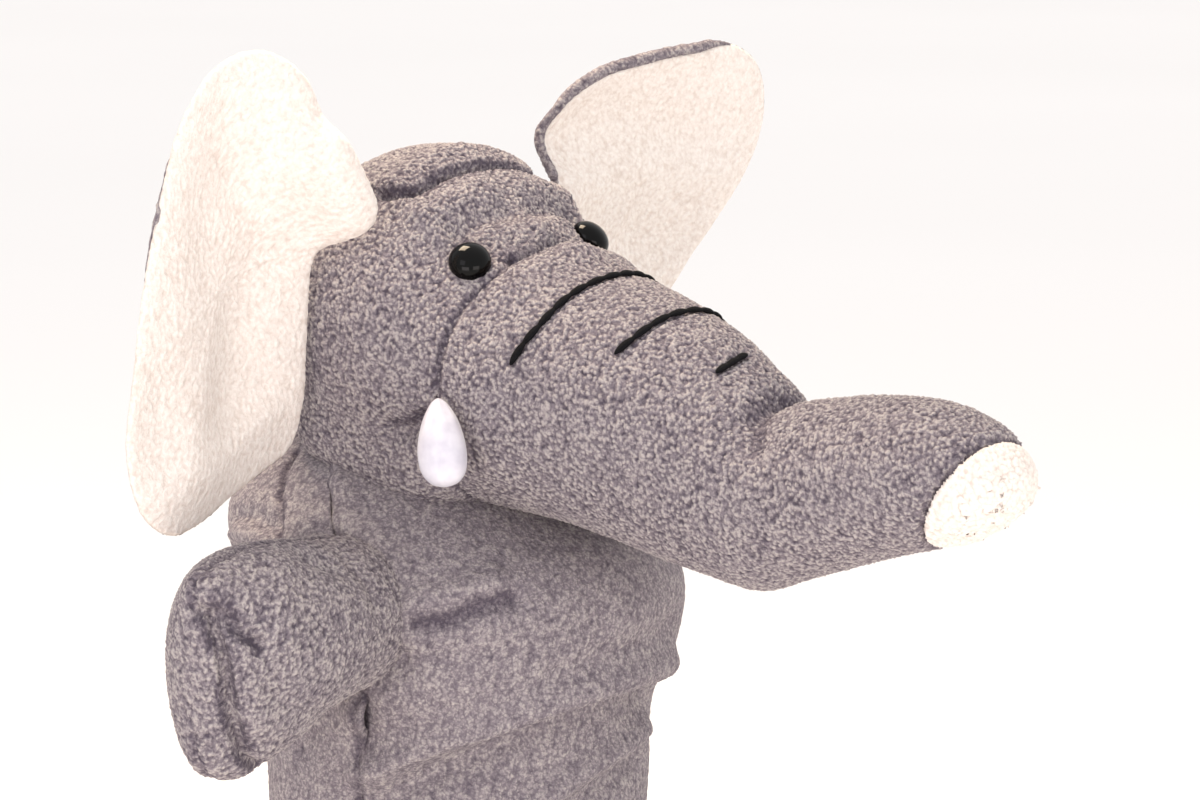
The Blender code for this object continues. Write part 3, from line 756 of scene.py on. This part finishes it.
@dataclass
class Head:
    """The head, snout and trunk: fleece panels sewn round a filling.

    Each of seam, bridge and groove is a height and a half width, mm.
    """
    voxel: float = 3.6
    split_row: float = 11.95
    levels: int = 2
    seam: tuple[float, float] = (-1.3, 1.1)
    bridge: tuple[float, float] = (-1.8, 2.4)
    groove: tuple[float, float] = (-0.8, 1.5)
    curl: float = 1.15
    nap: float = 0.7

    def folds(self) -> list[Fold]:
        """The seams, creases and soft ridges of the face and trunk, on both sides."""
        return folds_on(HEAD, (
            *((marks, *self.seam) for marks in HEAD_SEAMS),
            (BRIDGE_SEAM, *self.bridge),
            *FACE_FOLDS,
            *((mirrored(marks), height, width) for marks, height, width in FACE_FOLDS),
            *((marks, *self.groove) for marks in STITCHES)))

    def form(self) -> bpy.types.Object:
        """The whole head and trunk as one remeshed and sculpted form."""
        piece = wrapped_ball("head_cover", HEAD, 96, 120)
        apply_modifier(piece, "REMESH", mode="VOXEL", voxel_size=self.voxel * MM)
        apply_modifier(piece, "SMOOTH", factor=0.5, iterations=3)
        puff(piece, [HEAD.line(marks) for marks in HEAD_SEAMS], 1.6)
        subdivide(piece, self.levels)
        folds = self.folds()
        shape_folds(piece, [fold for fold in folds if not fold.narrow()])
        subdivide(piece, 1)
        shape_folds(piece, [fold for fold in folds if fold.narrow()])
        raise_nap(piece, self.curl, self.nap, folds)
        return piece

    @staticmethod
    def cut(piece: bpy.types.Object, spot: np.ndarray, way: np.ndarray, forwards: bool) -> None:
        """Cuts a piece on a plane and closes the cut.

        Args:
            piece: the closed piece.
            spot: a point of the plane.
            way: the plane's normal, towards the tip.
            forwards: True to keep the side towards the tip.
        """
        activate(piece)
        bpy.ops.object.mode_set(mode="EDIT")
        bpy.ops.mesh.select_all(action="SELECT")
        bpy.ops.mesh.bisect(plane_co=tuple(spot), plane_no=tuple(way), use_fill=True, clear_inner=forwards,
                            clear_outer=not forwards, threshold=1e-6)
        bpy.ops.object.mode_set(mode="OBJECT")

    def build(self, materials: dict[Slot, bpy.types.Material]) -> None:
        """Builds the head cover, the trunk cover and the tip patch."""
        head = self.form()
        trunk = twin(head, "trunk_cover")
        top, low = HEAD.spot(self.split_row, 90), HEAD.spot(self.split_row, 270)
        up = (top - low) / np.linalg.norm(top - low)
        way = np.cross((1, 0, 0), up)
        way *= -np.sign(way[1])
        self.cut(head, (top + low) / 2, way, False)
        self.cut(trunk, (top + low) / 2, way, True)
        for piece in (head, trunk):
            dress(piece, Slot.GREY, materials)
        TipPatch().lay(trunk, materials)
        tuple(HEAD.middle(9.0))
        tuple(HEAD.middle(10.0))
        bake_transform(head)
        tuple(HEAD.middle(12.4))
        tuple(HEAD.middle(14.0))
        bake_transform(trunk)
        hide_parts("head_right_side", "head_left_side", "head_crown", "head_chin", "snout_panel",
                    "head_stuffing", "trunk_root_fold", "trunk_base_panel", "trunk_base_stuffing")
        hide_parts("trunk_bend_fold", "trunk_end_panel", "trunk_end_stuffing")
        report(head)
        report(trunk)


@dataclass
class TipPatch:
    """The cream panel over the trunk's tip: an oval round a (row, angle) mark, drawn in at its seam and swollen."""
    mark: tuple[float, float] = (19.4, 250.0)
    reach: tuple[float, float, float] = (19.5, 21.0, 20.5)
    seam_width: float = 1.3
    seam_depth: float = 1.1
    core_row: float = 17.0
    hollow: float = 2.2
    swell: float = 1.4
    sink: float = 0.7
    wall: float = 1.0

    def lay(self, trunk: bpy.types.Object, materials: dict[Slot, bpy.types.Material]) -> None:
        """Lays the patch over the closed trunk, which is hollowed under it."""
        patch = twin(trunk, "trunk_tip_lining")
        points = coords(trunk)
        reach = np.linalg.norm((points - HEAD.spot(*self.mark)) / (np.array(self.reach) * MM), axis=1)
        seam = self.seam_depth * np.exp(-((reach - 1) * self.reach[0] / self.seam_width) ** 2)
        inwards = HEAD.middle(self.core_row) - points
        inwards /= np.linalg.norm(inwards, axis=1, keepdims=True)
        under = self.hollow * np.sqrt(np.clip((1 - reach) / 0.1, 0, 1))
        set_coords(trunk, points - normals(trunk) * (seam * MM)[:, None] + inwards * (under * MM)[:, None])
        swell = self.swell * np.sqrt(np.clip((1 - reach) / 0.35, 0, 1)) - self.sink
        set_coords(patch, points + normals(patch) * (swell * MM)[:, None])
        outside = np.array([(reach[list(face.vertices)] > 1).any() for face in patch.data.polygons])
        activate(patch)
        patch.data.polygons.foreach_set("select", outside)
        bpy.ops.object.mode_set(mode="EDIT")
        bpy.ops.mesh.select_mode(type="FACE")
        bpy.ops.mesh.delete(type="FACE")
        bpy.ops.object.mode_set(mode="OBJECT")
        apply_modifier(patch, "SOLIDIFY", thickness=self.wall * MM, offset=-1.0)
        dress(patch, Slot.CREAM, materials)
        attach(patch, "trunk_end")
        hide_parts("trunk_tip_patch")
        report(patch)


@dataclass
class CreaseStitches:
    """The three embroidered creases: rows of short overlapping stitches that lie in a groove across the trunk.

    `flat` is a stitch's height as a share of its width, and `rise` how far its middle stands up.
    """
    radius: float = 1.15
    spacing: float = 6.5
    overlap: float = 0.7
    flat: float = 0.7
    rise: float = 0.35
    sink: float = 0.1

    def build(self, materials: dict[Slot, bpy.types.Material]) -> None:
        """Builds each crease as one piece."""
        for number, marks in enumerate(STITCHES, 1):
            line = HEAD.line(marks, 24)
            run = np.concatenate(([0], np.cumsum(np.linalg.norm(np.diff(line, axis=0), axis=1))))
            holes = np.linspace(0, run[-1], max(3, round(run[-1] / (self.spacing * MM))) + 1)
            ends = np.stack([np.interp(holes, run, line[:, axis]) for axis in range(3)], -1)
            middle = Vector(HEAD.middle(marks[0][0]))
            parts = [self.stitch(f"stitch_{number}", Vector(start), Vector(end), middle)
                     for start, end in zip(ends[:-1], ends[1:])]
            activate(parts[0])
            for part in parts:
                part.select_set(True)
            bpy.ops.object.join()
            piece = bpy.context.object
            piece.name = f"crease_stitch_{number}"
            turn_outwards(piece)
            dress(piece, Slot.THREAD, materials)
            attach(piece, "head" if number == 1 else "trunk_base")
            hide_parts(f"trunk_crease_stitch_{number}")
            report(piece)

    def stitch(self, name: str, start: Vector, end: Vector, centre: Vector) -> bpy.types.Object:
        """One stitch: a plump thread between two needle holes, raised in its middle, away from a centre."""
        piece = ball(name, 10, 9)
        middle = (start + end) / 2
        out = (middle - centre).normalized()
        aim = (end - start).normalized()
        side = aim.cross(out).normalized()
        out = side.cross(aim)
        half = (end - start).length / 2 + self.overlap * MM
        points = coords(piece)
        along = points[:, 2:3] * half
        thick = self.radius * MM
        lift = (1 - points[:, 2:3] ** 2) * self.rise * MM - self.sink * MM
        place = (np.array(middle) + along * np.array(aim) + points[:, 0:1] * thick * np.array(side)
                 + (points[:, 1:2] * thick * self.flat + lift) * np.array(out))
        set_coords(piece, place)
        return piece


# ---------------------------------------------------------------- eyes and tusks

@dataclass
class SafetyEyes:
    """Black domed safety eyes, 12 mm across, pulled down into the fleece by a washer behind it."""
    row: float = 6.99
    angles: tuple[float, float] = (125.0, 59.5)
    radius: float = 6.0
    height: float = 4.6
    rim: float = 0.7

    def build(self, materials: dict[Slot, bpy.types.Material]) -> None:
        """Builds both eyes and dresses the washers."""
        for name, angle in zip(("right", "left"), self.angles):
            out = Vector(HEAD.normal(self.row, angle))
            base = Vector(HEAD.spot(self.row, angle))
            piece = ball(f"{name}_eye_dome", 48, 32)
            points = coords(piece)
            up = points[:, 2]
            height = np.where(up > 0, up * self.height + self.rim, up * self.rim)
            across = out.to_track_quat("Z", "Y").to_matrix()
            local = np.stack((points[:, 0] * self.radius, points[:, 1] * self.radius, height), -1) * MM
            set_coords(piece, np.array(base) + local @ np.array(across).T)
            dress(piece, Slot.EYE, materials)
            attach(piece, "head")
            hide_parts(f"{name}_eye")
            dress_node(f"{name}_eye_washer", Slot.WASHER, materials)
            report(piece)


@dataclass
class Tusks:
    """Small stuffed satin tusks: pointed where they are sewn to the cheek seam, round at the free end.

    The profile is (radius, distance down the tusk), and root and tip are the left tusk's, all in millimetres.
    """
    root: tuple[float, float, float] = (47.6, -40.0, 202.0)
    tip: tuple[float, float, float] = (52.3, -47.5, 178.5)
    samples: int = 200
    profile: tuple[tuple[float, float], ...] = (
        (0.2, 0.0), (2.2, 1.5), (4.7, 6.0), (6.3, 11.5), (6.7, 16.5), (5.9, 20.8), (3.6, 23.6), (0.3, 24.6))

    def build(self, materials: dict[Slot, bpy.types.Material]) -> None:
        """Builds both tusks from their turned profile, with puckers that run out of the sewn point."""
        profile = np.array(self.profile)
        fine = smooth_rows(profile, np.linspace(0, len(profile) - 1, self.samples))
        at = np.linspace(0, 1, self.samples)
        for name, side in (("right", -1), ("left", 1)):
            piece = ball(f"{name}_tusk_satin", 64, 48)
            points = coords(piece)
            share = np.arccos(np.clip(points[:, 2], -1, 1)) / math.pi
            radius = np.interp(share, at, fine[:, 0])
            down = np.interp(share, at, fine[:, 1])
            turn = np.arctan2(points[:, 1], points[:, 0])
            pucker = 1 + 0.05 * np.cos(7 * turn) * np.exp(-(down / 9) ** 2) + 0.025 * np.cos(3 * turn + down / 6)
            seam = 1 - 0.06 * np.exp(-((np.abs(turn) - 1.9) / 0.09) ** 2)
            radius = radius * pucker * seam
            top = np.array(self.root) * (side, 1, 1) * MM
            end = np.array(self.tip) * (side, 1, 1) * MM
            turn_to = np.array(Vector(end - top).to_track_quat("Z", "Y").to_matrix())
            local = np.stack((np.cos(turn) * radius, np.sin(turn) * radius, down), -1)
            set_coords(piece, top + (local * MM) @ turn_to.T)
            turn_outwards(piece)
            subdivide(piece, 1)
            dress(piece, Slot.SATIN, materials)
            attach(piece, "head")
            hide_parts(f"{name}_tusk")
            report(piece)


# ---------------------------------------------------------------- ears

@dataclass(frozen=True)
class Wave:
    """A fold of the ear along a line of (outward, z) marks: mm forwards, its half width, and 2 for a soft
    wave or more for a flap with a steep edge."""
    marks: Marks
    height: float
    width: float
    power: float = 2.0


@dataclass
class Ear:
    """An ear: a cream lining and a grey back, sewn round the edge and turned, so both are thin lenses of cloth.

    The outline starts at the lower end of the root, runs round the free edge and comes back down the root.
    Its points are (outward, forward, z). Each lip is (start, end, mm): shares of the way round between which
    the grey back is rolled to the front, and how far, or below 0 how far the lining is rolled to the back.
    """
    name: str
    side: int
    outline: tuple[tuple[float, float, float], ...]
    centre: tuple[float, float, float]
    waves: tuple[Wave, ...]
    lips: tuple[tuple[float, float, float], ...]
    cup: float = 6.0
    thick: float = 2.7

    def ring(self, share: np.ndarray) -> np.ndarray:
        """Points of the closed outline for shares of the way round."""
        table = np.array((self.outline[-1], *self.outline, *self.outline[:3]))
        return smooth_rows(table, 1 + share * len(self.outline)) * np.array((self.side, 1, 1))

    def middle(self) -> np.ndarray:
        """The point that the ear's surface fans out from."""
        return np.array(self.centre) * np.array((self.side, 1, 1))

    def flat_area(self) -> float:
        """The cut's area in square metres, from the outline laid flat."""
        points = self.ring(np.linspace(0, 1, 200, endpoint=False)) - self.middle()
        return float(np.linalg.norm(np.cross(points, np.roll(points, -1, axis=0)), axis=1).sum() / 2) * MM * MM

    def layer(self, label: str, front: bool) -> bpy.types.Object:
        """One layer of the ear, as a lens between the ear's middle surface and its own face.

        Args:
            label: the piece's name.
            front: True for the lining.

        Returns:
            The closed layer.
        """
        piece = ball(label, 400, 140)
        points = coords(piece)
        share = (np.arctan2(points[:, 1], points[:, 0]) / (2 * math.pi)) % 1
        polar = np.arccos(np.clip(points[:, 2], -1, 1)) / (math.pi / 2)
        spread = np.minimum(polar, 2 - polar)
        lip = np.zeros(len(points))
        for start, end, width in self.lips:
            ease = np.clip(np.minimum(share - start, end - share) / 0.04, 0, 1)
            lip += width * ease * ease * (3 - 2 * ease)
        ring = self.ring(share) - self.middle()
        reach = np.linalg.norm(ring, axis=1)
        drawn_in = np.maximum(lip if front else -lip, 0) / reach
        place = self.middle() + ring * (spread * (1 - drawn_in))[:, None]
        face = self.thick * np.sqrt(1 - spread ** 10)
        outer = points[:, 2] > 0 if front else points[:, 2] <= 0
        rolled = np.clip((spread * reach - (reach - lip - 1.5)) / 1.5, 0, 1) * (lip > 0.2) * (self.thick + 0.6)
        rolled = np.zeros(len(points)) if front else rolled * np.sqrt(1 - spread ** 10)
        place[:, 1] += np.where(outer, face if front else -face, rolled) - self.cup * (1 - spread ** 2)
        for wave in self.waves:
            line = smooth_rows(np.array(wave.marks), np.linspace(0, len(wave.marks) - 1, 30))
            line = np.stack((line[:, 0] * self.side, np.zeros(30), line[:, 1]), -1)
            near = nearness(place * np.array((1, 0, 1)), line, wave.width, wave.power)
            place[:, 1] += near * wave.height
        set_coords(piece, place * np.array((1, -1, 1)) * MM)
        turn_outwards(piece)
        return piece

    def build(self, materials: dict[Slot, bpy.types.Material]) -> None:
        """Builds both layers, raises their nap and hangs them on the ear's body."""
        for label, front, slot, node in ((f"{self.name}_lining", True, Slot.CREAM, f"{self.name}_front"),
                                         (f"{self.name}_cover", False, Slot.GREY, f"{self.name}_back")):
            piece = self.layer(label, front)
            raise_nap(piece, curl=1.5, height=0.3 if front else 0.5, contrast=0.8)
            dress(piece, slot, materials)
            self.flat_area()
            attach(piece, self.name)
            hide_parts(node)
            report(piece)


RIGHT_EAR = Ear(
    "right_ear", -1,
    outline=((57, -9, 184), (68, -9, 178), (82, -7, 173), (97, -3, 168.5), (110, 0, 168), (120, 0, 176),
             (124, 0, 193), (121, 0, 213), (114.5, -3, 236), (107, -5, 260), (99, -5, 280), (86, -3, 293),
             (73, 0, 295.5), (62.5, 2, 287), (56.5, 2, 273), (50, 2, 262), (45, 1, 252.5), (47, 0, 245),
             (52.5, -2, 241), (54.5, -3, 236), (54.5, -4, 224), (54.5, -5, 211), (55, -6, 198)),
    centre=(86, -1, 232),
    waves=(Wave(((60, 266), (55, 259), (49, 251)), 9.0, 9.5, 4.0),
           Wave(((67, 284), (58, 266), (50, 252)), 5.5, 13.0),
           Wave(((80, 262), (76, 250), (66, 240)), -2.0, 6.0),
           Wave(((76, 238), (78, 222), (82, 200)), -2.2, 8.0),
           Wave(((98, 280), (102, 240), (102, 190)), 2.6, 11.0),
           Wave(((66, 196), (90, 184), (112, 180)), 2.0, 7.0)),
    lips=((0.18, 0.36, -3.0), (0.36, 0.40, 0.5), (0.40, 0.72, -3.0)))
LEFT_EAR = Ear(
    "left_ear", 1,
    outline=((57, -12, 183), (68, -14, 180), (82, -14, 184), (94, -13, 194), (104, -11, 207), (114, -8, 220),
             (126, -5, 235), (137, -2, 251), (142, -1, 267), (138, -1, 281), (124, -3, 288.5), (106, -6, 288.5),
             (88, -8, 286.5), (70, -10, 283), (55, -12, 275), (48, -12, 264), (49.5, -10, 254), (53, -9, 245),
             (54.5, -10, 228), (54.5, -11, 212), (54.5, -12, 196)),
    centre=(90, -7, 240),
    waves=(Wave(((56, 262), (80, 268), (110, 262)), -2.4, 7.0),
           Wave(((60, 246), (90, 250), (122, 246)), 2.2, 7.0),
           Wave(((62, 226), (84, 228), (108, 226)), -2.0, 7.0),
           Wave(((52, 272), (75, 283), (110, 287)), 3.0, 5.0)),
    lips=((0.46, 0.80, 3.2),))


# ---------------------------------------------------------------- the glove and its mitts

BODY = BodyLoft((
    (0.0, 0.0, 60.0, 49.0),
    (40.0, 0.0, 60.0, 49.0),
    (75.0, 1.0, 61.0, 51.0),
    (100.0, 1.0, 61.0, 53.0),
    (118.0, 3.0, 66.0, 59.0),
    (134.0, 3.0, 67.5, 62.5),
    (145.0, 0.0, 66.5, 61.5),
    (153.0, -5.0, 65.0, 60.0),
    (160.0, -11.0, 61.5, 55.5),
    (167.0, -16.0, 55.0, 49.0),
    (174.0, -20.0, 47.0, 40.0),
    (180.0, -23.0, 36.0, 29.0),
    (183.5, -24.0, 22.0, 17.0),
    (184.5, -24.0, 12.0, 9.0),
))


@dataclass
class Glove:
    """The hollow body: a sleeve of fleece from the hem to the nape, with side seams and the folds of a worn glove.

    `seam` is the angle of the right side seam, and `allowance` the degrees by which the back laps over it.
    """
    columns: int = 240
    rows: int = 180
    wall: float = 2.2
    hem: float = 14.0
    seam: float = 161.0
    allowance: float = 1.2

    def folds(self) -> list[Fold]:
        """Side seams, the hem's stitch line and the folds that a hand makes in the cloth."""
        work = []
        for angle in (self.seam, 180 - self.seam):
            work.append(Fold(BODY.line(BODY.marks(((2, angle), (60, angle), (112, angle), (124, angle)))), -1.2, 1.3))
        for marks in (((150, 177), (157, 178), (164, 179), (172, 182), (178, 184)),
                      ((150, 3), (157, 2), (164, 1), (172, -2), (178, -4))):
            work.append(Fold(BODY.line(BODY.marks(marks)), -1.4, 1.1))
        for marks, height, width in (
                (((139.5, 144), (141, 136), (144, 128), (145.5, 119)), -2.2, 2.6),
                (((145, 144), (147, 134), (150, 122)), 2.4, 4.5),
                (((130, 154), (130, 137), (132, 120), (136, 98)), -2.2, 7.0),
                (((96, 156), (103.7, 140), (110.3, 122), (115, 107), (117.3, 88), (116, 64)), 5.0, 5.5),
                (((86, 156), (94, 140), (101, 122), (106, 107), (108, 88), (106, 64)), -4.2, 5.5),
                (((75, 122), (86, 102), (91.7, 86), (95, 64)), 4.4, 5.0),
                (((66, 122), (77, 102), (83, 86), (86, 64)), -3.6, 5.0),
                (((122, 110), (126, 90), (128, 66)), -1.8, 5.0),
                (((48, 150), (56, 128), (64, 108)), 1.8, 7.0),
                (((30, 60), (44, 84), (52, 110)), 1.6, 9.0),
                (((128, 150), (120, 163), (100, 184)), -2.2, 5.0),
                (((157, 167), (153, 161), (150, 158)), -3.4, 4.5),
                (((160, 204), (162, 192), (161, 182)), -2.0, 2.8),
                (((155, 206), (156, 194), (155, 180)), 2.0, 4.5),
                (((150, 206), (149, 194), (149, 180)), -3.0, 4.0),
                (((120, 232), (126, 262), (122, 300)), 2.2, 8.0),
                (((96, 228), (100, 262), (94, 304)), 2.0, 9.0),
                (((60, 236), (66, 268), (58, 306)), 1.6, 10.0),
                (((118, 34), (108, 20), (96, 8)), -2.0, 5.0)):
            work.append(Fold(BODY.line(BODY.marks(marks)), height, width))
        around = np.linspace(0, 360, 73)
        work.append(Fold(BODY.at(np.full(73, BODY.row_of(self.hem)), around), -0.9, 1.3))
        work.append(Fold(BODY.at(np.full(73, BODY.row_of(4)), around), 0.6, 5.0))
        return work

    def panel(self, name: str, first: float, last: float,
              materials: dict[Slot, bpy.types.Material]) -> bpy.types.Object:
        """One panel of the sleeve, from one side seam to the other.

        Args:
            name: the piece's name.
            first: the angle of the seam that it starts at.
            last: the angle of the seam that it ends at.
            materials: the finishes.

        Returns:
            The panel, with its wall.
        """
        deselect()
        bpy.ops.mesh.primitive_grid_add(x_subdivisions=self.columns, y_subdivisions=self.rows, size=2.0)
        piece = bpy.context.object
        piece.name = name
        points = coords(piece)
        around, along = (1 - points[:, 0]) / 2, (points[:, 1] + 1) / 2
        set_coords(piece, BODY.at(np.interp(along, BODY.share, BODY.rows), first + around * (last - first)))
        folds = self.folds()
        shape_folds(piece, folds)
        raise_nap(piece, curl=1.8, height=0.45, folds=folds, contrast=0.5)
        apply_modifier(piece, "SOLIDIFY", thickness=self.wall * MM, offset=-1.0)
        set_coords(piece, np.maximum(coords(piece), (-1, -1, 0)))
        dress(piece, Slot.GREY, materials)
        waist = BODY.at(np.full(60, BODY.row_of(80)), np.linspace(first, last, 60))
        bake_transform(piece)
        report(piece)
        return piece

    def build(self, materials: dict[Slot, bpy.types.Material]) -> None:
        """Builds both panels, and dresses the finger pocket inside the head."""
        front = self.panel("glove_front_panel", 180 - self.seam, self.seam, materials)
        back = self.panel("glove_back_panel", self.seam - self.allowance, 540 - self.seam + self.allowance,
                          materials)
        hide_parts("glove_front", "neck_tube")
        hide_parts("glove_back", "hem_band", "neck_gusset")
        dress_node("finger_pocket", Slot.GREY, materials)


@dataclass
class Mitt:
    """An arm: a mitt for one finger, two panels sewn along the top, the tip and the underside.

    `mouth` is the seam over the tip, where both panels are drawn in like a closed mouth, and each crease is
    its (row, angle) marks, its height and its width.
    """
    name: str
    side: int
    sections: tuple[tuple[float, float, float, float, float], ...]
    mouth: Marks
    creases: tuple[FoldRow, ...]
    fill: float
    voxel: float = 2.6

    def build(self, materials: dict[Slot, bpy.types.Material]) -> None:
        """Builds the mitt and draws in its seams and creases."""
        loft = MittLoft(self.sections, self.side)
        last = len(self.sections) - 1
        piece = wrapped_ball(f"{self.name}_mitt", loft, 72, 64)
        apply_modifier(piece, "REMESH", mode="VOXEL", voxel_size=self.voxel * MM)
        apply_modifier(piece, "SMOOTH", factor=0.5, iterations=2)
        top = loft.line(((0.5, 0), (last * 0.5, 0), (last - 0.05, 0)))
        under = loft.line(((0.5, 180), (last * 0.5, 180), (last - 0.05, 180)))
        tip = loft.line(self.mouth)
        puff(piece, [top, under, tip], 1.5)
        subdivide(piece, 1)
        work = [Fold(top, -0.9, 1.4), Fold(under, -0.9, 1.4), Fold(tip, -1.0, 5.0), Fold(tip, -3.2, 1.7),
                *folds_on(loft, self.creases)]
        shape_folds(piece, [fold for fold in work if not fold.narrow()])
        subdivide(piece, 1)
        shape_folds(piece, [fold for fold in work if fold.narrow()])
        raise_nap(piece, curl=1.25, height=0.7, folds=work)
        dress(piece, Slot.GREY, materials)
        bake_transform(piece)
        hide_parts(f"{self.name}_front", f"{self.name}_back", f"{self.name[:-4]}_shoulder_gusset")
        report(piece)


RIGHT_MITT = Mitt(
    "right_arm", -1,
    sections=((44, 8, 138, 4, 4), (48, 9, 138, 18, 18), (58, 11, 139.5, 22, 23), (72, 14, 140, 23, 24.5),
              (82, 17, 140.5, 24.5, 25), (96, 21, 139.5, 27.5, 24.5), (109, 25, 138, 29.5, 21.5),
              (119, 28, 137, 29.5, 15.5), (126, 29.7, 138, 27, 9), (128.6, 30.2, 139.0, 22.5, 4),
              (129.2, 30.4, 139.5, 17, 1.0)),
    mouth=((9.3, 38), (8.6, 52), (8.4, 66), (8.2, 82), (8.0, 104), (7.46, 128), (6.83, 144), (6.15, 156)),
    creases=((((8.1, 50), (7.87, 53), (7.53, 62), (7.09, 72)), -2.6, 2.2),
             (((7.6, 74), (7.4, 92), (7.1, 112)), 1.8, 5.0),
             (((6.9, 146), (6.5, 154), (6.2, 160)), 1.5, 6.0),
             (((4.5, 28), (4.3, 34), (4.0, 40)), -2.6, 5.0),
             (((3.1, 30), (3.2, 50), (3.3, 74)), -1.6, 3.0),
             (((5.6, 30), (6.2, 50), (6.5, 70)), 1.5, 6.0),
             (((1.5, 70), (1.7, 84), (1.8, 104)), -3.0, 4.0),
             (((4.4, 140), (5.6, 120), (6.8, 100)), -1.0, 4.0)),
    fill=0.6)
LEFT_MITT = Mitt(
    "left_arm", 1,
    sections=((52, 10, 136, 4, 4), (55, 8, 136, 16, 12), (62, 2, 136, 20, 14), (70.5, -6, 135, 21, 14),
              (76, -13, 131.5, 23.5, 14.5), (83, -21, 127, 25, 14.5), (90, -29, 123, 25, 14),
              (95.5, -35.5, 119.5, 24, 11.5), (99, -39.5, 117.5, 22, 8.5), (100.5, -41.3, 116.7, 19, 4.5),
              (101, -42, 116.4, 13, 1.0)),
    mouth=((9.2, 20), (9.6, 90), (9.2, 160)),
    creases=((((3.4, 30), (3.8, 70), (3.8, 120)), -1.2, 3.0), (((5.0, 40), (5.6, 80), (6.4, 120)), 1.2, 5.0),
             (((5.0, 220), (5.8, 260), (6.4, 300)), 1.2, 5.0)),
    fill=0.3)


# ---------------------------------------------------------------- studio

@dataclass(frozen=True)
class Lamp:
    """A square soft light that looks at the head: its place and side in metres, its watts and its colour."""
    name: str
    place: tuple[float, float, float]
    size: float
    power: float
    colour: str
    aim: tuple[float, float, float] = (0.0, 0.0, 0.2)

    def build(self) -> None:
        """Adds the light."""
        data = bpy.data.lights.new(self.name, "AREA")
        data.size = self.size
        data.energy = self.power
        data.color = linear(self.colour)[:3]
        lamp = bpy.data.objects.new(self.name, data)
        lamp.location = self.place
        lamp.rotation_euler = (Vector(self.place) - Vector(self.aim)).to_track_quat("Z", "Y").to_euler()
        bpy.context.scene.collection.objects.link(lamp)


LAMPS = (Lamp("top_back_light", (0.0, 0.16, 0.66), 0.2, 3.2, "#ffe8ca"),
         Lamp("left_fill", (-1.1, -0.2, 0.75), 0.5, 1.0, "#fbf4ff"),
         Lamp("front_fill", (-0.30, -1.1, 0.10), 0.6, 3.0, "#fff4ee"),
         Lamp("low_fill", (-0.75, -0.35, 0.05), 0.5, 2.4, "#fdf3f4"))


@dataclass
class Studio:
    """A pale floor, soft light and the camera, whose target is in millimetres."""
    azimuth: float = -48.0
    elevation: float = 10.0
    distance: float = 0.95
    lens: float = 98.3
    target: tuple[float, float, float] = (25.1, -33.9, 191.2)

    def build(self) -> None:
        """Builds the floor, the world, the lights and the camera."""
        deselect()
        bpy.ops.mesh.primitive_plane_add(size=60.0, location=(0, 0, -0.0005))
        floor = bpy.context.object
        floor.name = "studio_floor"
        floor.data.materials.append(Backdrop().build())
        world = bpy.data.worlds.new("studio")
        world.use_nodes = True
        sky = world.node_tree.nodes["Background"]
        sky.inputs["Color"].default_value = linear("#fffefe")
        sky.inputs["Strength"].default_value = 1.0
        bpy.context.scene.world = world
        for lamp in LAMPS:
            lamp.build()
        turn, rise = math.radians(self.azimuth), math.radians(self.elevation)
        back = Vector((math.sin(turn) * math.cos(rise), -math.cos(turn) * math.cos(rise), math.sin(rise)))
        data = bpy.data.cameras.new("camera")
        data.lens = self.lens
        camera = bpy.data.objects.new("camera", data)
        camera.location = Vector(self.target) * MM + back * self.distance
        camera.rotation_euler = back.to_track_quat("Z", "Y").to_euler()
        bpy.context.scene.collection.objects.link(camera)
        bpy.context.scene.camera = camera
        bpy.context.scene.view_settings.view_transform = "Standard"


def main() -> None:
    """Builds the studio, the materials and each sub-assembly in order."""
    Studio().build()
    materials = {slot: finish.build() for slot, finish in FINISHES.items()}
    for part in (Head(), CreaseStitches(), SafetyEyes(), Tusks(), RIGHT_EAR, LEFT_EAR, Glove(), RIGHT_MITT,
                 LEFT_MITT):
        LOG.info("building %s", type(part).__name__)
        part.build(materials)


if __name__ == "__main__":
    main()
